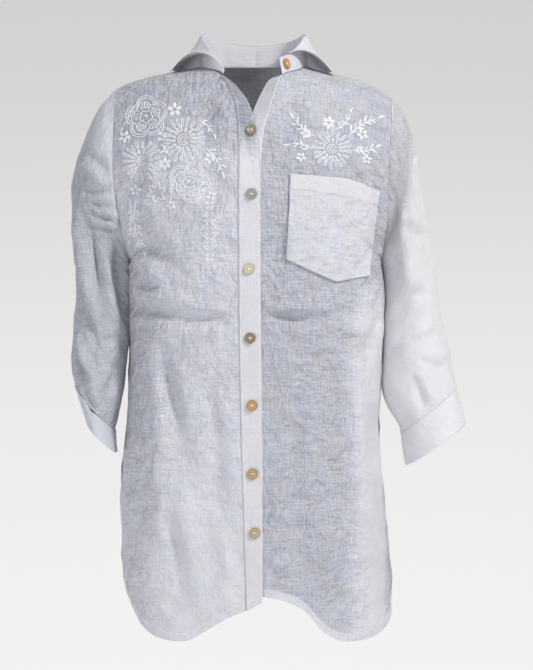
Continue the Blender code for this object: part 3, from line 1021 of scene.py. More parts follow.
def ripple(points: Points, seed: float, size: float, height: float) -> Points:
    """Finds the small uneven swells that loosely hung cloth has.

    Args:
        points: Places on the cloth.
        seed: Sets this piece's own pattern.
        size: The usual distance between swells.
        height: The usual height of a swell.

    Returns:
        The distances.
    """
    rate = 2 * math.pi / size
    total = np.zeros(points.shape[:-1])
    for step in range(7):
        turn = seed + 2.4 * step
        heading = np.array([math.cos(turn), 0.5 * math.sin(3.1 * turn), math.sin(turn)])
        stretch = 0.6 + 0.23 * step
        total += np.sin(points @ heading * rate * stretch + 5.3 * turn) / (1 + 0.5 * step)
    return height * total / 1.8


# ---------------------------------------------------------------- cloth


def placed(name: str, data: bpy.types.ID) -> bpy.types.Object:
    """Puts a mesh, light or camera in the scene.

    Args:
        name: The object's name.
        data: What it shows.

    Returns:
        The object.
    """
    made = bpy.data.objects.new(name, data)
    bpy.context.scene.collection.objects.link(made)
    return made


def skin(name: str, points: Sequence, faces: Sequence, flat: Points, finish: bpy.types.Material) -> bpy.types.Object:
    """Makes a smooth surface with the cloth's own map.

    Args:
        name: The object's name.
        points: Its points.
        faces: Its faces, by their points' numbers.
        flat: Where each face's corners lie on the flat cloth, in metres.
        finish: Its material.

    Returns:
        The object.
    """
    mesh = bpy.data.meshes.new(name)
    mesh.from_pydata(points, [], faces)
    mesh.uv_layers.new(name="cloth").data.foreach_set("uv", flat.ravel())
    mesh.shade_smooth()
    mesh.materials.append(finish)
    return placed(name, mesh)


class Sheet:
    """A grid of points on a cloth surface, which can be creased, measured and built on."""

    SEARCH = (6, 4)
    TRIES = 8

    def __init__(self, points: Points, wrapped: bool = False, outwards: int = 1) -> None:
        """Takes the grid.

        Args:
            points: Rows of points, each row running across the cloth.
            wrapped: Whether the last column lies on the first, as round a sleeve.
            outwards: 1 if across by up faces out of the blouse, else -1.
        """
        self.points = points
        self.wrapped = wrapped
        self.outwards = outwards
        self.flat = self.measure()
        # layers of cloth at each point, plus painted light and shade
        self.layers = np.zeros(points.shape[:2])

    def measure(self) -> Points:
        """Measures the cloth along its rows and columns.

        Returns:
            Each point's distance across and up, in metres.
        """
        across = np.linalg.norm(np.diff(self.points, axis=1), axis=2)
        up = np.linalg.norm(np.diff(self.points, axis=0), axis=2)
        first = np.pad(np.cumsum(across, axis=1), ((0, 0), (1, 0)))
        second = np.pad(np.cumsum(up, axis=0), ((1, 0), (0, 0)))
        return np.stack([first, second + self.points[0, :, 2]], -1)

    def normals(self) -> Points:
        """Returns the outward direction at each point."""
        grid = self.points
        if self.wrapped:
            grid = np.concatenate([grid[:, -2:-1], grid, grid[:, 1:2]], axis=1)
            across = grid[:, 2:] - grid[:, :-2]
        else:
            across = np.gradient(grid, axis=1)
        up = np.gradient(self.points, axis=0)
        return self.outwards * unit(np.cross(across, up))

    def level(self, share: Points) -> None:
        """Squares the weave to the body, as cloth has it that is cut in one piece.

        Args:
            share: How far, from 0 to 1, for each row.
        """
        x, y, z = np.moveaxis(self.points, -1, 0)
        square = np.stack([1.08 * x * np.sign(x[0, -1] - x[0, 0]), z - 0.45 * np.abs(y)], -1)
        start = int(np.argmin(np.abs(share - 0.2)))
        square += (self.flat - square)[start, x.shape[1] // 2]
        self.flat = self.flat + share[:, None, None] * (square - self.flat)

    def push(self, lift: Points) -> None:
        """Moves every point along its normal by a distance."""
        self.points = self.points + self.normals() * lift[..., None]

    def crease(self, creases: Iterable[Crease], seed: float, hold: Points | float = 1.0) -> None:
        """Adds creases and the cloth's own ripple.

        Args:
            creases: The creases to add.
            seed: Sets the ripple's pattern.
            hold: 1 where the cloth is free, down to 0 where a seam holds it.
        """
        normals = self.normals()
        lift = ripple(self.points, seed, 0.085, 0.0014) + ripple(self.points, seed + 1, 0.034, 0.00050)
        for crease in creases:
            lift = lift + crease.lift(self.points, normals)
        self.push(lift * hold)

    def above_hem(self) -> Points:
        """Returns how far up the cloth each point lies from the first row."""
        return self.flat[..., 1] - self.flat[0, :, 1]

    def row_at(self, height: float) -> Points:
        """Returns the fractional row in each column that lies this far up the cloth."""
        return np.array([np.interp(height, column, np.arange(len(column))) for column in self.above_hem().T])

    def at(self, up: Points, across: Points) -> Points:
        """Reads points between the grid's.

        Args:
            up: Fractional row numbers.
            across: Fractional column numbers.

        Returns:
            The points.
        """
        rows, columns = self.points.shape[:2]
        up, across = np.clip(up, 0, rows - 1.001), np.clip(across, 0, columns - 1.001)
        low, left = up.astype(int), across.astype(int)
        rise, part = (up - low)[..., None], (across - left)[..., None]
        bottom = self.points[low, left] * (1 - part) + self.points[low, left + 1] * part
        top = self.points[low + 1, left] * (1 - part) + self.points[low + 1, left + 1] * part
        return bottom * (1 - rise) + top * rise

    def facing(self, up: Points, across: Points) -> Points:
        """Finds the outward direction between the grid's points.

        Args:
            up: Fractional row numbers.
            across: Fractional column numbers.

        Returns:
            The directions.
        """
        rise = self.at(up + 0.5, across) - self.at(up - 0.5, across)
        run = self.at(up, across + 0.5) - self.at(up, across - 0.5)
        return self.outwards * unit(np.cross(run, rise))

    def locate(self, x: Points, z: Points) -> tuple[Points, Points]:
        """Finds where the cloth shows given places.

        Args:
            x: Places across, in metres.
            z: Heights, in metres.

        Returns:
            Fractional row and column numbers.
        """
        rows, columns = self.points.shape[:2]
        up_step, across_step = self.SEARCH
        coarse = self.points[::up_step, ::across_step][..., [0, 2]]
        wanted = np.stack([x, z], -1)
        gaps = ((wanted[..., None, None, :] - coarse) ** 2).sum(-1)
        nearest = gaps.reshape(*x.shape, -1).argmin(-1)
        up = (nearest // coarse.shape[1] * up_step).astype(float)
        across = (nearest % coarse.shape[1] * across_step).astype(float)
        for _ in range(self.TRIES):
            here = self.at(up, across)[..., [0, 2]]
            by_up = self.at(up + 0.5, across)[..., [0, 2]] - self.at(up - 0.5, across)[..., [0, 2]]
            by_across = self.at(up, across + 0.5)[..., [0, 2]] - self.at(up, across - 0.5)[..., [0, 2]]
            miss = wanted - here
            area = by_up[..., 0] * by_across[..., 1] - by_up[..., 1] * by_across[..., 0]
            area = np.where(np.abs(area) < 1e-12, 1e-12, area)
            up = up + (miss[..., 0] * by_across[..., 1] - miss[..., 1] * by_across[..., 0]) / area
            across = across + (by_up[..., 0] * miss[..., 1] - by_up[..., 1] * miss[..., 0]) / area
            up, across = np.clip(up, 0.5, rows - 1.6), np.clip(across, 0.5, columns - 1.6)
        return up, across

    def over(self, x: Points, z: Points, lift: Points | float) -> Points:
        """Finds points lifted off the cloth over given places.

        Args:
            x: Places across, in metres.
            z: Heights, in metres.
            lift: How far they are lifted.

        Returns:
            The points.
        """
        spot = self.locate(x, z)
        return self.at(*spot) + self.facing(*spot) * np.asarray(lift)[..., None]

    def build(self, name: str, wall: float, material: bpy.types.Material) -> bpy.types.Object:
        """Makes the cloth as an object with a wall inwards.

        Args:
            name: The object's name.
            wall: The cloth's thickness.
            material: Its finish.

        Returns:
            The object.
        """
        rows, columns = self.points.shape[:2]
        kept = columns - 1 if self.wrapped else columns
        numbers = np.arange(rows)[:, None] * kept + np.arange(columns)[None, :] % kept
        corners = ((0, 0), (0, 1), (1, 1), (1, 0))
        if self.outwards < 0:
            corners = corners[::-1]
        picks = [(slice(up, rows - 1 + up), slice(over, columns - 1 + over)) for up, over in corners]
        faces = np.stack([numbers[pick] for pick in picks], -1).reshape(-1, 4)
        flat = np.stack([self.flat[pick] for pick in picks], 2).reshape(-1, 2)
        points = self.points[:, :kept].reshape(-1, 3).tolist()
        made = skin(name, points, faces.tolist(), flat, material)
        # layers of cloth plus painted light and shade, read by the finish
        layers = made.data.attributes.new("layers", "FLOAT", "POINT")
        layers.data.foreach_set("value", self.layers[:, :kept].ravel())
        solid = made.modifiers.new("Wall", "SOLIDIFY")
        solid.thickness = wall
        solid.offset = -1
        return made


def grid_of(place: Callable[[Points, Points], Points], rows: Points, columns: Points) -> Points:
    """Fills a grid of points.

    Args:
        place: Gives points for row and column values.
        rows: The row values.
        columns: The column values.

    Returns:
        The grid.
    """
    up, across = np.meshgrid(rows, columns, indexing="ij")
    return place(up.ravel(), across.ravel()).reshape(len(rows), len(columns), 3)


# ---------------------------------------------------------------- pieces


@dataclass
class Seam:
    """A line of stitches on a sheet, by its row and column numbers."""

    sheet: Sheet
    up: Sequence[float]
    across: Sequence[float]


@dataclass
class Finishes:
    """The materials that the pieces share."""

    linen: bpy.types.Material
    # the sleeves' linens: painted shade on the right, painted light on the left
    sleeves: dict[Side, bpy.types.Material]
    thread: bpy.types.Material
    button_thread: bpy.types.Material


class Garment:
    """What every cloth piece does once its surface is made."""

    HEM_LAYERS = 0.62

    def __init__(self, finishes: Finishes) -> None:
        """Keeps the finishes.

        Args:
            finishes: The shared materials.
        """
        self.finishes = finishes
        self.seams: list[Seam] = []

    def stitch_hem(self, panel: Sheet) -> None:
        """Adds the hem's line of stitches."""
        up = panel.row_at(SIZES.hem_stitches)
        self.seams.append(Seam(panel, up, np.arange(len(up)) * 1.0))

    def hang(
        self, sheet: Sheet, name: str, wall: float, flat: tuple[float, float], share: float = 1.0,
        finish: bpy.types.Material | None = None,
    ) -> None:
        """Builds a cloth piece in place of its solid and logs the size of its cloth.

        Args:
            sheet: The cloth's surface.
            name: The solid's node name.
            wall: The cloth's thickness.
            flat: The width and length of the rectangle that it is cut from.
            share: How much of that rectangle the cut fills; not used.
            finish: Its finish, if it isn't the body's linen.
        """
        made = sheet.build(name + "_cloth", wall, finish or self.finishes.linen)
        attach(made, "root")
        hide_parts(name)
        LOG.info("%s: cloth of %.3f by %.3f m", name, *flat)


RIGHT_CREASES = (
    Crease((-0.024, -0.328), (-0.112, -0.322), 0.0070, 0.0046, 0.003),
    Crease((-0.024, -0.342), (-0.150, -0.334), 0.0100, -0.0072, 0.004),
    Crease((-0.100, -0.318), (-0.178, -0.300), 0.0100, 0.0052, 0.004),
    Crease((-0.112, -0.338), (-0.180, -0.322), 0.0080, -0.0060, -0.003),
    Crease((-0.168, -0.226), (-0.108, -0.268), 0.0080, -0.0064, 0.004),
    Crease((-0.174, -0.250), (-0.120, -0.300), 0.0090, 0.0050, 0.005),
    Crease((-0.176, -0.268), (-0.132, -0.316), 0.0080, -0.0058, 0.005),
    Crease((-0.170, -0.180), (-0.125, -0.205), 0.0095, 0.0040, 0.003),
    Crease((-0.150, -0.100), (-0.176, -0.190), 0.0105, -0.0050, 0.004),
    Crease((-0.062, -0.030), (-0.048, -0.190), 0.0150, -0.0058, -0.008),
    Crease((-0.036, -0.180), (-0.078, -0.252), 0.0120, 0.0040, 0.004),
    Crease((-0.146, -0.372), (-0.124, -0.640), 0.0150, 0.0085, 0.010),
    Crease((-0.124, -0.402), (-0.096, -0.560), 0.0120, -0.0080, 0.006),
    Crease((-0.094, -0.470), (-0.082, -0.690), 0.0150, 0.0066, -0.008),
    Crease((-0.060, -0.430), (-0.052, -0.610), 0.0120, -0.0064, 0.004),
    Crease((-0.166, -0.440), (-0.154, -0.650), 0.0110, -0.0070, 0.006),
    Crease((-0.112, -0.600), (-0.104, -0.735), 0.0130, -0.0062, 0.003),
    Crease((-0.044, -0.620), (-0.036, -0.730), 0.0110, 0.0048, 0.002),
)
LEFT_CREASES = (
    Crease((0.012, -0.324), (0.092, -0.328), 0.0060, 0.0058, -0.002),
    Crease((0.012, -0.337), (0.108, -0.343), 0.0070, -0.0100, -0.003),
    Crease((0.090, -0.340), (0.176, -0.356), 0.0110, 0.0050, -0.005),
    Crease((0.034, -0.204), (0.020, -0.300), 0.0110, -0.0056, 0.004),
    Crease((0.052, -0.020), (0.032, -0.130), 0.0130, -0.0066, 0.006),
    Crease((0.078, -0.030), (0.066, -0.110), 0.0120, 0.0050, 0.004),
    Crease((0.168, -0.240), (0.126, -0.300), 0.0090, -0.0058, -0.004),
    Crease((0.174, -0.280), (0.136, -0.372), 0.0100, 0.0054, -0.005),
    Crease((0.178, -0.330), (0.150, -0.410), 0.0090, -0.0056, -0.004),
    Crease((0.140, -0.400), (0.156, -0.660), 0.0150, 0.0085, -0.010),
    Crease((0.112, -0.430), (0.124, -0.640), 0.0130, -0.0080, 0.008),
    Crease((0.086, -0.520), (0.094, -0.735), 0.0140, 0.0062, 0.006),
    Crease((0.056, -0.450), (0.062, -0.690), 0.0130, -0.0056, -0.004),
    Crease((0.168, -0.470), (0.176, -0.650), 0.0110, -0.0066, 0.004),
    Crease((0.030, -0.560), (0.034, -0.700), 0.0110, 0.0044, 0.003),
    Crease((0.160, -0.110), (0.150, -0.200), 0.0105, -0.0046, -0.004),
)
BACK_CREASES = (
    Crease((-0.020, -0.120), (-0.035, -0.520), 0.022, -0.0058, 0.010, Facing.BACK),
    Crease((0.045, -0.160), (0.060, -0.480), 0.018, 0.0049, -0.008, Facing.BACK),
    Crease((-0.090, -0.300), (-0.110, -0.700), 0.018, 0.0061, 0.012, Facing.BACK),
    Crease((0.110, -0.330), (0.125, -0.690), 0.017, -0.0055, -0.010, Facing.BACK),
    Crease((0.020, -0.480), (0.014, -0.735), 0.016, 0.0046, 0.006, Facing.BACK),
    Crease((-0.160, -0.200), (-0.100, -0.270), 0.012, -0.0043, 0.006, Facing.BACK),
    Crease((0.162, -0.210), (0.105, -0.300), 0.013, -0.0041, -0.006, Facing.BACK),
    Crease((-0.120, -0.360), (-0.020, -0.345), 0.013, -0.0035, 0.006, Facing.BACK),
    Crease((0.030, -0.370), (0.130, -0.352), 0.013, 0.0032, 0.005, Facing.BACK),
    Crease((-0.150, -0.080), (-0.085, -0.100), 0.013, 0.0029, 0.004, Facing.BACK),
)
SLEEVE_CREASES = {
    Side.RIGHT: (
        Crease((-0.230, -0.112), (-0.198, -0.150), 0.0073, -0.0057, 0.002),
        Crease((-0.240, -0.130), (-0.205, -0.158), 0.0069, 0.0043, 0.002),
        Crease((-0.234, -0.168), (-0.188, -0.164), 0.0052, -0.0072, -0.002),
        Crease((-0.232, -0.177), (-0.190, -0.176), 0.0043, 0.0040, -0.001),
        Crease((-0.222, -0.184), (-0.188, -0.189), 0.0036, -0.0043, -0.001),
        Crease((-0.224, -0.191), (-0.186, -0.199), 0.0034, 0.0032, -0.001),
        Crease((-0.224, -0.198), (-0.185, -0.210), 0.0036, -0.0048, -0.002),
        Crease((-0.225, -0.208), (-0.184, -0.217), 0.0036, 0.0034, -0.002),
        Crease((-0.224, -0.217), (-0.182, -0.223), 0.0039, -0.0048, -0.002),
        Crease((-0.218, -0.234), (-0.184, -0.231), 0.0043, -0.0044, 0.002),
        Crease((-0.248, -0.190), (-0.212, -0.350), 0.0095, 0.0094, -0.004),
        Crease((-0.254, -0.236), (-0.218, -0.372), 0.0065, -0.0120, -0.004),
        Crease((-0.221, -0.222), (-0.197, -0.366), 0.0060, -0.0110, -0.003),
        Crease((-0.207, -0.240), (-0.188, -0.356), 0.0060, 0.0065, -0.002),
        Crease((-0.191, -0.236), (-0.180, -0.330), 0.0060, -0.0100, -0.001),
        Crease((-0.256, -0.366), (-0.224, -0.434), 0.0069, -0.0101, -0.004),
        Crease((-0.244, -0.362), (-0.214, -0.440), 0.0065, 0.0072, -0.003),
        Crease((-0.234, -0.430), (-0.218, -0.482), 0.0052, -0.0072, 0.002),
        Crease((-0.190, -0.366), (-0.226, -0.378), 0.0060, -0.0075, 0.003),
        Crease((-0.186, -0.396), (-0.206, -0.452), 0.0060, -0.0072, 0.003),
        Crease((-0.250, -0.160), (-0.205, -0.200), 0.0095, -0.0061, 0.004, Facing.BACK),
        Crease((-0.245, -0.230), (-0.200, -0.260), 0.0102, 0.0058, 0.004, Facing.BACK),
        Crease((-0.240, -0.320), (-0.195, -0.345), 0.0102, -0.0061, 0.004, Facing.BACK),
        Crease((-0.245, -0.380), (-0.200, -0.400), 0.0093, 0.0051, 0.003, Facing.BACK),
    ),
    Side.LEFT: (
        Crease((0.215, -0.110), (0.245, -0.300), 0.0093, -0.0059, 0.006),
        Crease((0.200, -0.170), (0.215, -0.300), 0.0085, 0.0055, -0.004),
        Crease((0.200, -0.215), (0.240, -0.235), 0.0076, -0.0050, 0.004),
        Crease((0.195, -0.330), (0.245, -0.300), 0.0085, -0.0059, 0.004),
        Crease((0.200, -0.380), (0.255, -0.345), 0.0076, 0.0055, 0.004),
        Crease((0.225, -0.400), (0.262, -0.415), 0.0076, -0.0046, 0.003),
        Crease((0.215, -0.420), (0.232, -0.475), 0.0068, -0.0055, 0.003),
        Crease((0.210, -0.160), (0.235, -0.250), 0.010, -0.0051, 0.005, Facing.BACK),
        Crease((0.205, -0.300), (0.250, -0.330), 0.010, 0.0051, 0.004, Facing.BACK),
        Crease((0.210, -0.380), (0.255, -0.400), 0.009, -0.0051, 0.003, Facing.BACK),
    ),
}


@dataclass(frozen=True)
class ToneAndShade:
    """Light and shade painted on a front, in layers of cloth: the tone all over, which paints the right front lighter
    and the left darker, and what the lower part, the chest, the neck under the collar, the side and the band's top add
    as painted light or shade.
    """

    # Every field is painted light or shade, added to the cloth's layers.
    plain: float
    low: float
    chest: float
    neck_shade: float
    edge: float
    band_top_shade: float


class Front(Garment):
    """A front panel with its hem, and the button band along its edge."""

    ROWS = np.concatenate([np.arange(0, 0.18, 0.009), np.linspace(0.18, 9.98, 240)])
    CREASES = {Side.RIGHT: RIGHT_CREASES, Side.LEFT: LEFT_CREASES}
    # Painted light and shade for each front: shade on the right front's chest, under its collar and on its band's top,
    # light on the left front's chest and side.
    TONES_AND_SHADE = {
        Side.RIGHT: ToneAndShade(0.36, 0.24, -0.50, -0.90, -0.25, -1.40),
        Side.LEFT: ToneAndShade(-0.46, -0.08, 0.62, 0.05, 1.25, -0.10),
    }
    BAND_LAYERS = 0.85
    BAND_LIFT = 0.0008
    BAND_STITCHES = (0.9, 13.1)
    HEM_LIFT = 0.0003
    PUCKER = 0.00028
    SHOULDER_SEAM_ROW = 5.2

    def __init__(self, finishes: Finishes, side: Side) -> None:
        """Makes the panel's and the band's surfaces.

        Args:
            finishes: The shared materials.
            side: The wearer's side.
        """
        super().__init__(finishes)
        self.side = side
        columns = np.linspace(0.0018, 0.9982, 92)
        points = grid_of(lambda row, across: front_points(side, row, across), self.ROWS, columns)
        self.panel = Sheet(points, outwards=side.sign)
        self.panel.level(smooth(self.ROWS, 4.0, 5.6))
        held = smooth(self.ROWS, 4.7, 5.0)[:, None] * (1 - smooth(1 - columns, 0.0, 0.09))[None, :]
        self.panel.crease(self.CREASES[side], 1.0 + side.sign, 1 - held)
        self.shade()
        self.fold_hem()
        rows = np.concatenate([np.arange(0, 0.15, 0.0125), np.linspace(0.15, SIZES.band_top_row, 200)])
        self.band = Sheet(grid_of(self.band_points, rows, np.linspace(0, 1, 15)), outwards=-side.sign)
        self.band.crease(self.CREASES[side], 1.0 + side.sign)
        self.band.push(np.full(self.band.points.shape[:2], self.BAND_LIFT))
        # painted shade on the band's top under the collar, deep on the right front
        self.band.layers[:] = self.BAND_LAYERS + (smooth(rows, 5.4, 6.4) * self.TONES_AND_SHADE[side].band_top_shade)[:, None]
        ends = len(rows) - 2.0
        self.seams += [Seam(self.band, (1.0, ends), (column, column)) for column in self.BAND_STITCHES]

    def band_points(self, row: Points, across: Points) -> Points:
        """Finds points on the band, across from the front's seam to the free edge.

        Args:
            row: Section numbers.
            across: Fractions of the band's width.

        Returns:
            The points.
        """
        cut = FRONTS[self.side]
        line = curve(rows_of(cut.rows), row)
        slope = cut.band_slope * np.maximum(0, 1 - row)
        width = np.stack([line[:, 5], line[:, 6], slope], -1)
        folded = np.arctan2(line[:, 6], np.abs(line[:, 5]))
        start = (SIZES.seam + SIZES.band_wall * np.tan(folded / 2)) * smooth(across, 0.0, 0.3)
        tucked = start - SIZES.band_tuck * (1 - smooth(across, 0.0, 0.3))
        share = tucked / np.linalg.norm(width, axis=1) + across
        return front_points(self.side, row, np.zeros(row.shape)) + width * share[:, None]

    def shade(self) -> None:
        """Paints light and shade into how dense the panel's cloth looks: shade on the right chest, under the collar and
        by the armhole, light on the left chest, and light or shade along the side.
        """
        x, z = np.abs(self.panel.points[..., 0]), self.panel.points[..., 2]
        tone = self.TONES_AND_SHADE[self.side]
        # painted shade by the armhole, and the band along the side where light or shade is painted
        armhole_shade = smooth(x, 0.11, 0.175) * smooth(z, -0.30, -0.18)
        side_shading = smooth(x, 0.07, 0.175) * (1 - 0.55 * smooth(x, 0.168, 0.190)) * smooth(-z, 0.22, 0.36)
        layers = tone.plain + tone.low * smooth(-z, 0.40, 0.72) + tone.chest * smooth(z, -0.14, -0.06)
        layers += tone.neck_shade * bell(x, 0.072, 0.036) * bell(z, -0.018, 0.040) - 0.14 * armhole_shade
        self.panel.layers = layers + tone.edge * side_shading

    def fold_hem(self) -> None:
        """Doubles the cloth along the hem, where the stitching puckers it a little."""
        up, along = self.panel.above_hem(), self.panel.flat[..., 0]
        double = 1 - smooth(up, SIZES.hem - 0.0020, SIZES.hem + 0.0020)
        pucker = np.sin(along * 520 + 2 * np.sin(along * 90)) * bell(up / SIZES.hem, 0.6, 0.5)
        wave = ripple(self.panel.points, 7.0 + self.side.sign, 0.045, 0.0010) * (1 - smooth(up, 0.0, 0.05))
        self.panel.push(double * self.HEM_LIFT + pucker * self.PUCKER + wave)
        self.panel.layers = np.maximum(self.panel.layers, double * self.HEM_LAYERS)
        self.stitch_hem(self.panel)
        low, high = np.searchsorted(self.ROWS, self.SHOULDER_SEAM_ROW), len(self.ROWS) - 2.0
        last = self.panel.points.shape[1] - 1.6
        self.seams.append(Seam(self.panel, (low, high), (last, last)))

    def build(self) -> None:
        """Builds the panel and the band."""
        self.hang(self.panel, "front_" + self.side.value, SIZES.cloth, (0.265, 0.80), 0.92)
        self.hang(self.band, "placket_" + self.side.value, SIZES.double, (0.0262, 0.735))


class Back(Garment):
    """The back panel, from shoulder to hem in one width."""

    LAYERS = 0.10
    # painted light: the back's inside near the neck, which lies in shade, is lightened and made denser
    NECK_PAINTED_LIGHT = 0.45
    HEM_LIFT = 0.0005

    def __init__(self, finishes: Finishes) -> None:
        """Makes the panel's surface.

        Args:
            finishes: The shared materials.
        """
        super().__init__(finishes)
        rows = np.concatenate([np.arange(10, 9.87, -0.009), np.linspace(9.87, 0.02, 200)])
        columns = np.linspace(-0.9982, 0.9982, 177)

        def place(row: Points, across: Points) -> Points:
            """Returns points on the half that each place lies on."""
            halves = {side: back_points(side, row, np.abs(across)) for side in Side}
            return np.where((across < 0)[:, None], halves[Side.RIGHT], halves[Side.LEFT])

        panel = Sheet(grid_of(place, rows, columns), outwards=-1)
        panel.level(1 - smooth(rows, 3.4, 5.0))
        held = (1 - smooth(rows, 4.0, 4.3))[:, None] * smooth(np.abs(columns), 0.91, 1.0)[None, :]
        panel.crease(BACK_CREASES, 4.0, 1 - held)
        up = panel.above_hem()
        double = 1 - smooth(up, SIZES.hem - 0.0012, SIZES.hem + 0.0008)
        wave = ripple(panel.points, 9.0, 0.045, 0.0010) * (1 - smooth(up, 0.0, 0.05))
        panel.push(double * self.HEM_LIFT + wave)
        # painted light on the back's inside near the neck
        plain = self.LAYERS + smooth(rows, 2.6, 1.2)[:, None] * self.NECK_PAINTED_LIGHT
        panel.layers = np.maximum(plain, double * self.HEM_LAYERS)
        self.stitch_hem(panel)
        self.panel = panel

    def build(self) -> None:
        """Builds the panel."""
        self.hang(self.panel, "back", SIZES.cloth, (0.56, 0.80), 0.90)


class Sleeve(Garment):
    """A three-quarter sleeve with its cuff."""

    # Painted light and shade: the right sleeve lighter at its head and darker down its length, the left darker at its
    # head and lighter down its length.
    HEAD_LIGHT_AND_SHADE = {Side.RIGHT: 0.60, Side.LEFT: -0.50}
    TUBE_LIGHT_AND_SHADE = {Side.RIGHT: -0.10, Side.LEFT: 0.74}
    SEAM_LAYERS = 0.6
    CUFF_LAYERS = 0.70
    CUFF_LIFT = 0.0009
    CUFF_STITCHES = (1.0, 2.6, 22.6)

    def __init__(self, finishes: Finishes, side: Side) -> None:
        """Makes the sleeve's and the cuff's surfaces.

        Args:
            finishes: The shared materials.
            side: The wearer's side.
        """
        super().__init__(finishes)
        self.side = side
        rows = np.concatenate([np.linspace(9, 0.06, 150), (0.03, 0.0)])
        around = np.linspace(0.5, 1.5, 113)
        points = grid_of(lambda row, turn: sleeve_points(side, row, turn), rows, around)
        self.tube = Sheet(points, wrapped=True, outwards=-side.sign)
        held = np.maximum(1 - smooth(rows, 0.1, 0.9), smooth(rows, 8.8, 9.0))[:, None]
        self.tube.crease(SLEEVE_CREASES[side], 2.0 + side.sign, 1 - held)
        # painted light and shade along the sleeve, from its head down
        head = self.HEAD_LIGHT_AND_SHADE[side]
        plain = head + (self.TUBE_LIGHT_AND_SHADE[side] - head) * smooth(rows, 0.6, 3.2)
        seam = (1 - smooth(rows, 0.05, 0.12)) * self.SEAM_LAYERS
        self.tube.layers[:] = np.maximum(seam, plain)[:, None]
        rings = np.array(rows_of(SLEEVES[side].cuff))

        def place(row: Points, turn: Points) -> Points:
            """Returns points on the cuff, 0 at its seam and 1 at its edge."""
            return ring_points(rings[0] + (rings[1] - rings[0]) * row[:, None], turn)

        self.cuff = Sheet(grid_of(place, np.linspace(1, -0.04, 25), around), True, -side.sign)
        self.cuff.crease(SLEEVE_CREASES[side], 5.0, 0.6)
        self.cuff.push(np.full(self.cuff.points.shape[:2], self.CUFF_LIFT))
        self.cuff.layers[:] = self.CUFF_LAYERS
        self.seams += [Seam(self.cuff, (row, row), (0.0, len(around) - 1.0)) for row in self.CUFF_STITCHES]

    def build(self) -> None:
        """Builds the sleeve and the cuff."""
        # the sleeve's lit or shaded copy of the linen
        finish = self.finishes.sleeves[self.side]
        self.hang(self.tube, "sleeve_" + self.side.value, SIZES.cloth, (0.43, 0.42), 0.80, finish)
        self.hang(self.cuff, "cuff_" + self.side.value, SIZES.double, (0.27, 0.045), 1.0, finish)


class Collar(Garment):
    """The collar: a stand on the neckline and a leaf folded over it."""

    def stand_points(self, station: Points, up: Points) -> Points:
        """Finds points on the outside of the stand.

        Args:
            station: Collar station numbers from the right front.
            up: 0 at the neckline to 1 at the fold.

        Returns:
            The points.
        """
        zero = np.zeros(station.shape)
        top = SIZES.band_top_row
        low = front_points(Side.RIGHT, top + station, zero)
        for start, points in (
            (2, back_points(Side.RIGHT, np.clip(station - 2, 0, 9), zero)),
            (4, back_points(Side.LEFT, np.clip(6 - station, 0, 9), zero)),
            (6, front_points(Side.LEFT, 2 * top - station, zero)),
        ):
            low = np.where((station > start)[:, None], points, low)
        low = low + np.array([0, 0, SIZES.stand_clearance])
        high = curve(rows_of(COLLAR), station)[:, :3]
        return low + (high - low) * up[:, None]

    def leaf_points(self, out: Points, station: Points) -> Points:
        """Finds points on the leaf.

        Args:
            out: 0 at the fold to 1 at the leaf's edge.
            station: Collar station numbers.

        Returns:
            The points.
        """
        line = curve(rows_of(COLLAR), station)
        fold = line[:, :3]
        away = unit(fold * (1, 1, 0) + (0, 0.01, 0))
        start = fold + away * SIZES.leaf_offset + np.array([0, 0, SIZES.leaf_rise])
        point = start + (line[:, 3:6] - start) * out[:, None]
        point[:, 2] += line[:, 6] * 4 * out * (1 - out)
        return point

    def __init__(self, finishes: Finishes) -> None:
        """Makes the stand's and the leaf's surfaces.

        Args:
            finishes: The shared materials.
        """
        super().__init__(finishes)
        last = len(COLLAR) - 1
        points = grid_of(lambda up, at: self.stand_points(at, up), np.linspace(0, 1, 13), np.linspace(0, last, 161))
        self.stand = Sheet(points, outwards=-1)
        stations = np.linspace(0, last - SIZES.leaf_left_start, 161)
        self.leaf = Sheet(grid_of(self.leaf_points, np.linspace(0, 1, 31), stations))
        for sheet in (self.stand, self.leaf):
            sheet.layers[:] = 1.0
        self.seams += [Seam(self.leaf, (27.5, 27.5), (2.0, 158.0)), Seam(self.stand, (0.9, 0.9), (1.0, 159.0))]

    def build(self) -> None:
        """Builds the stand and the leaf."""
        self.hang(self.stand, "collar_stand", SIZES.double, (0.39, 0.042))
        self.hang(self.leaf, "collar_leaf", SIZES.double, (0.50, 0.060))


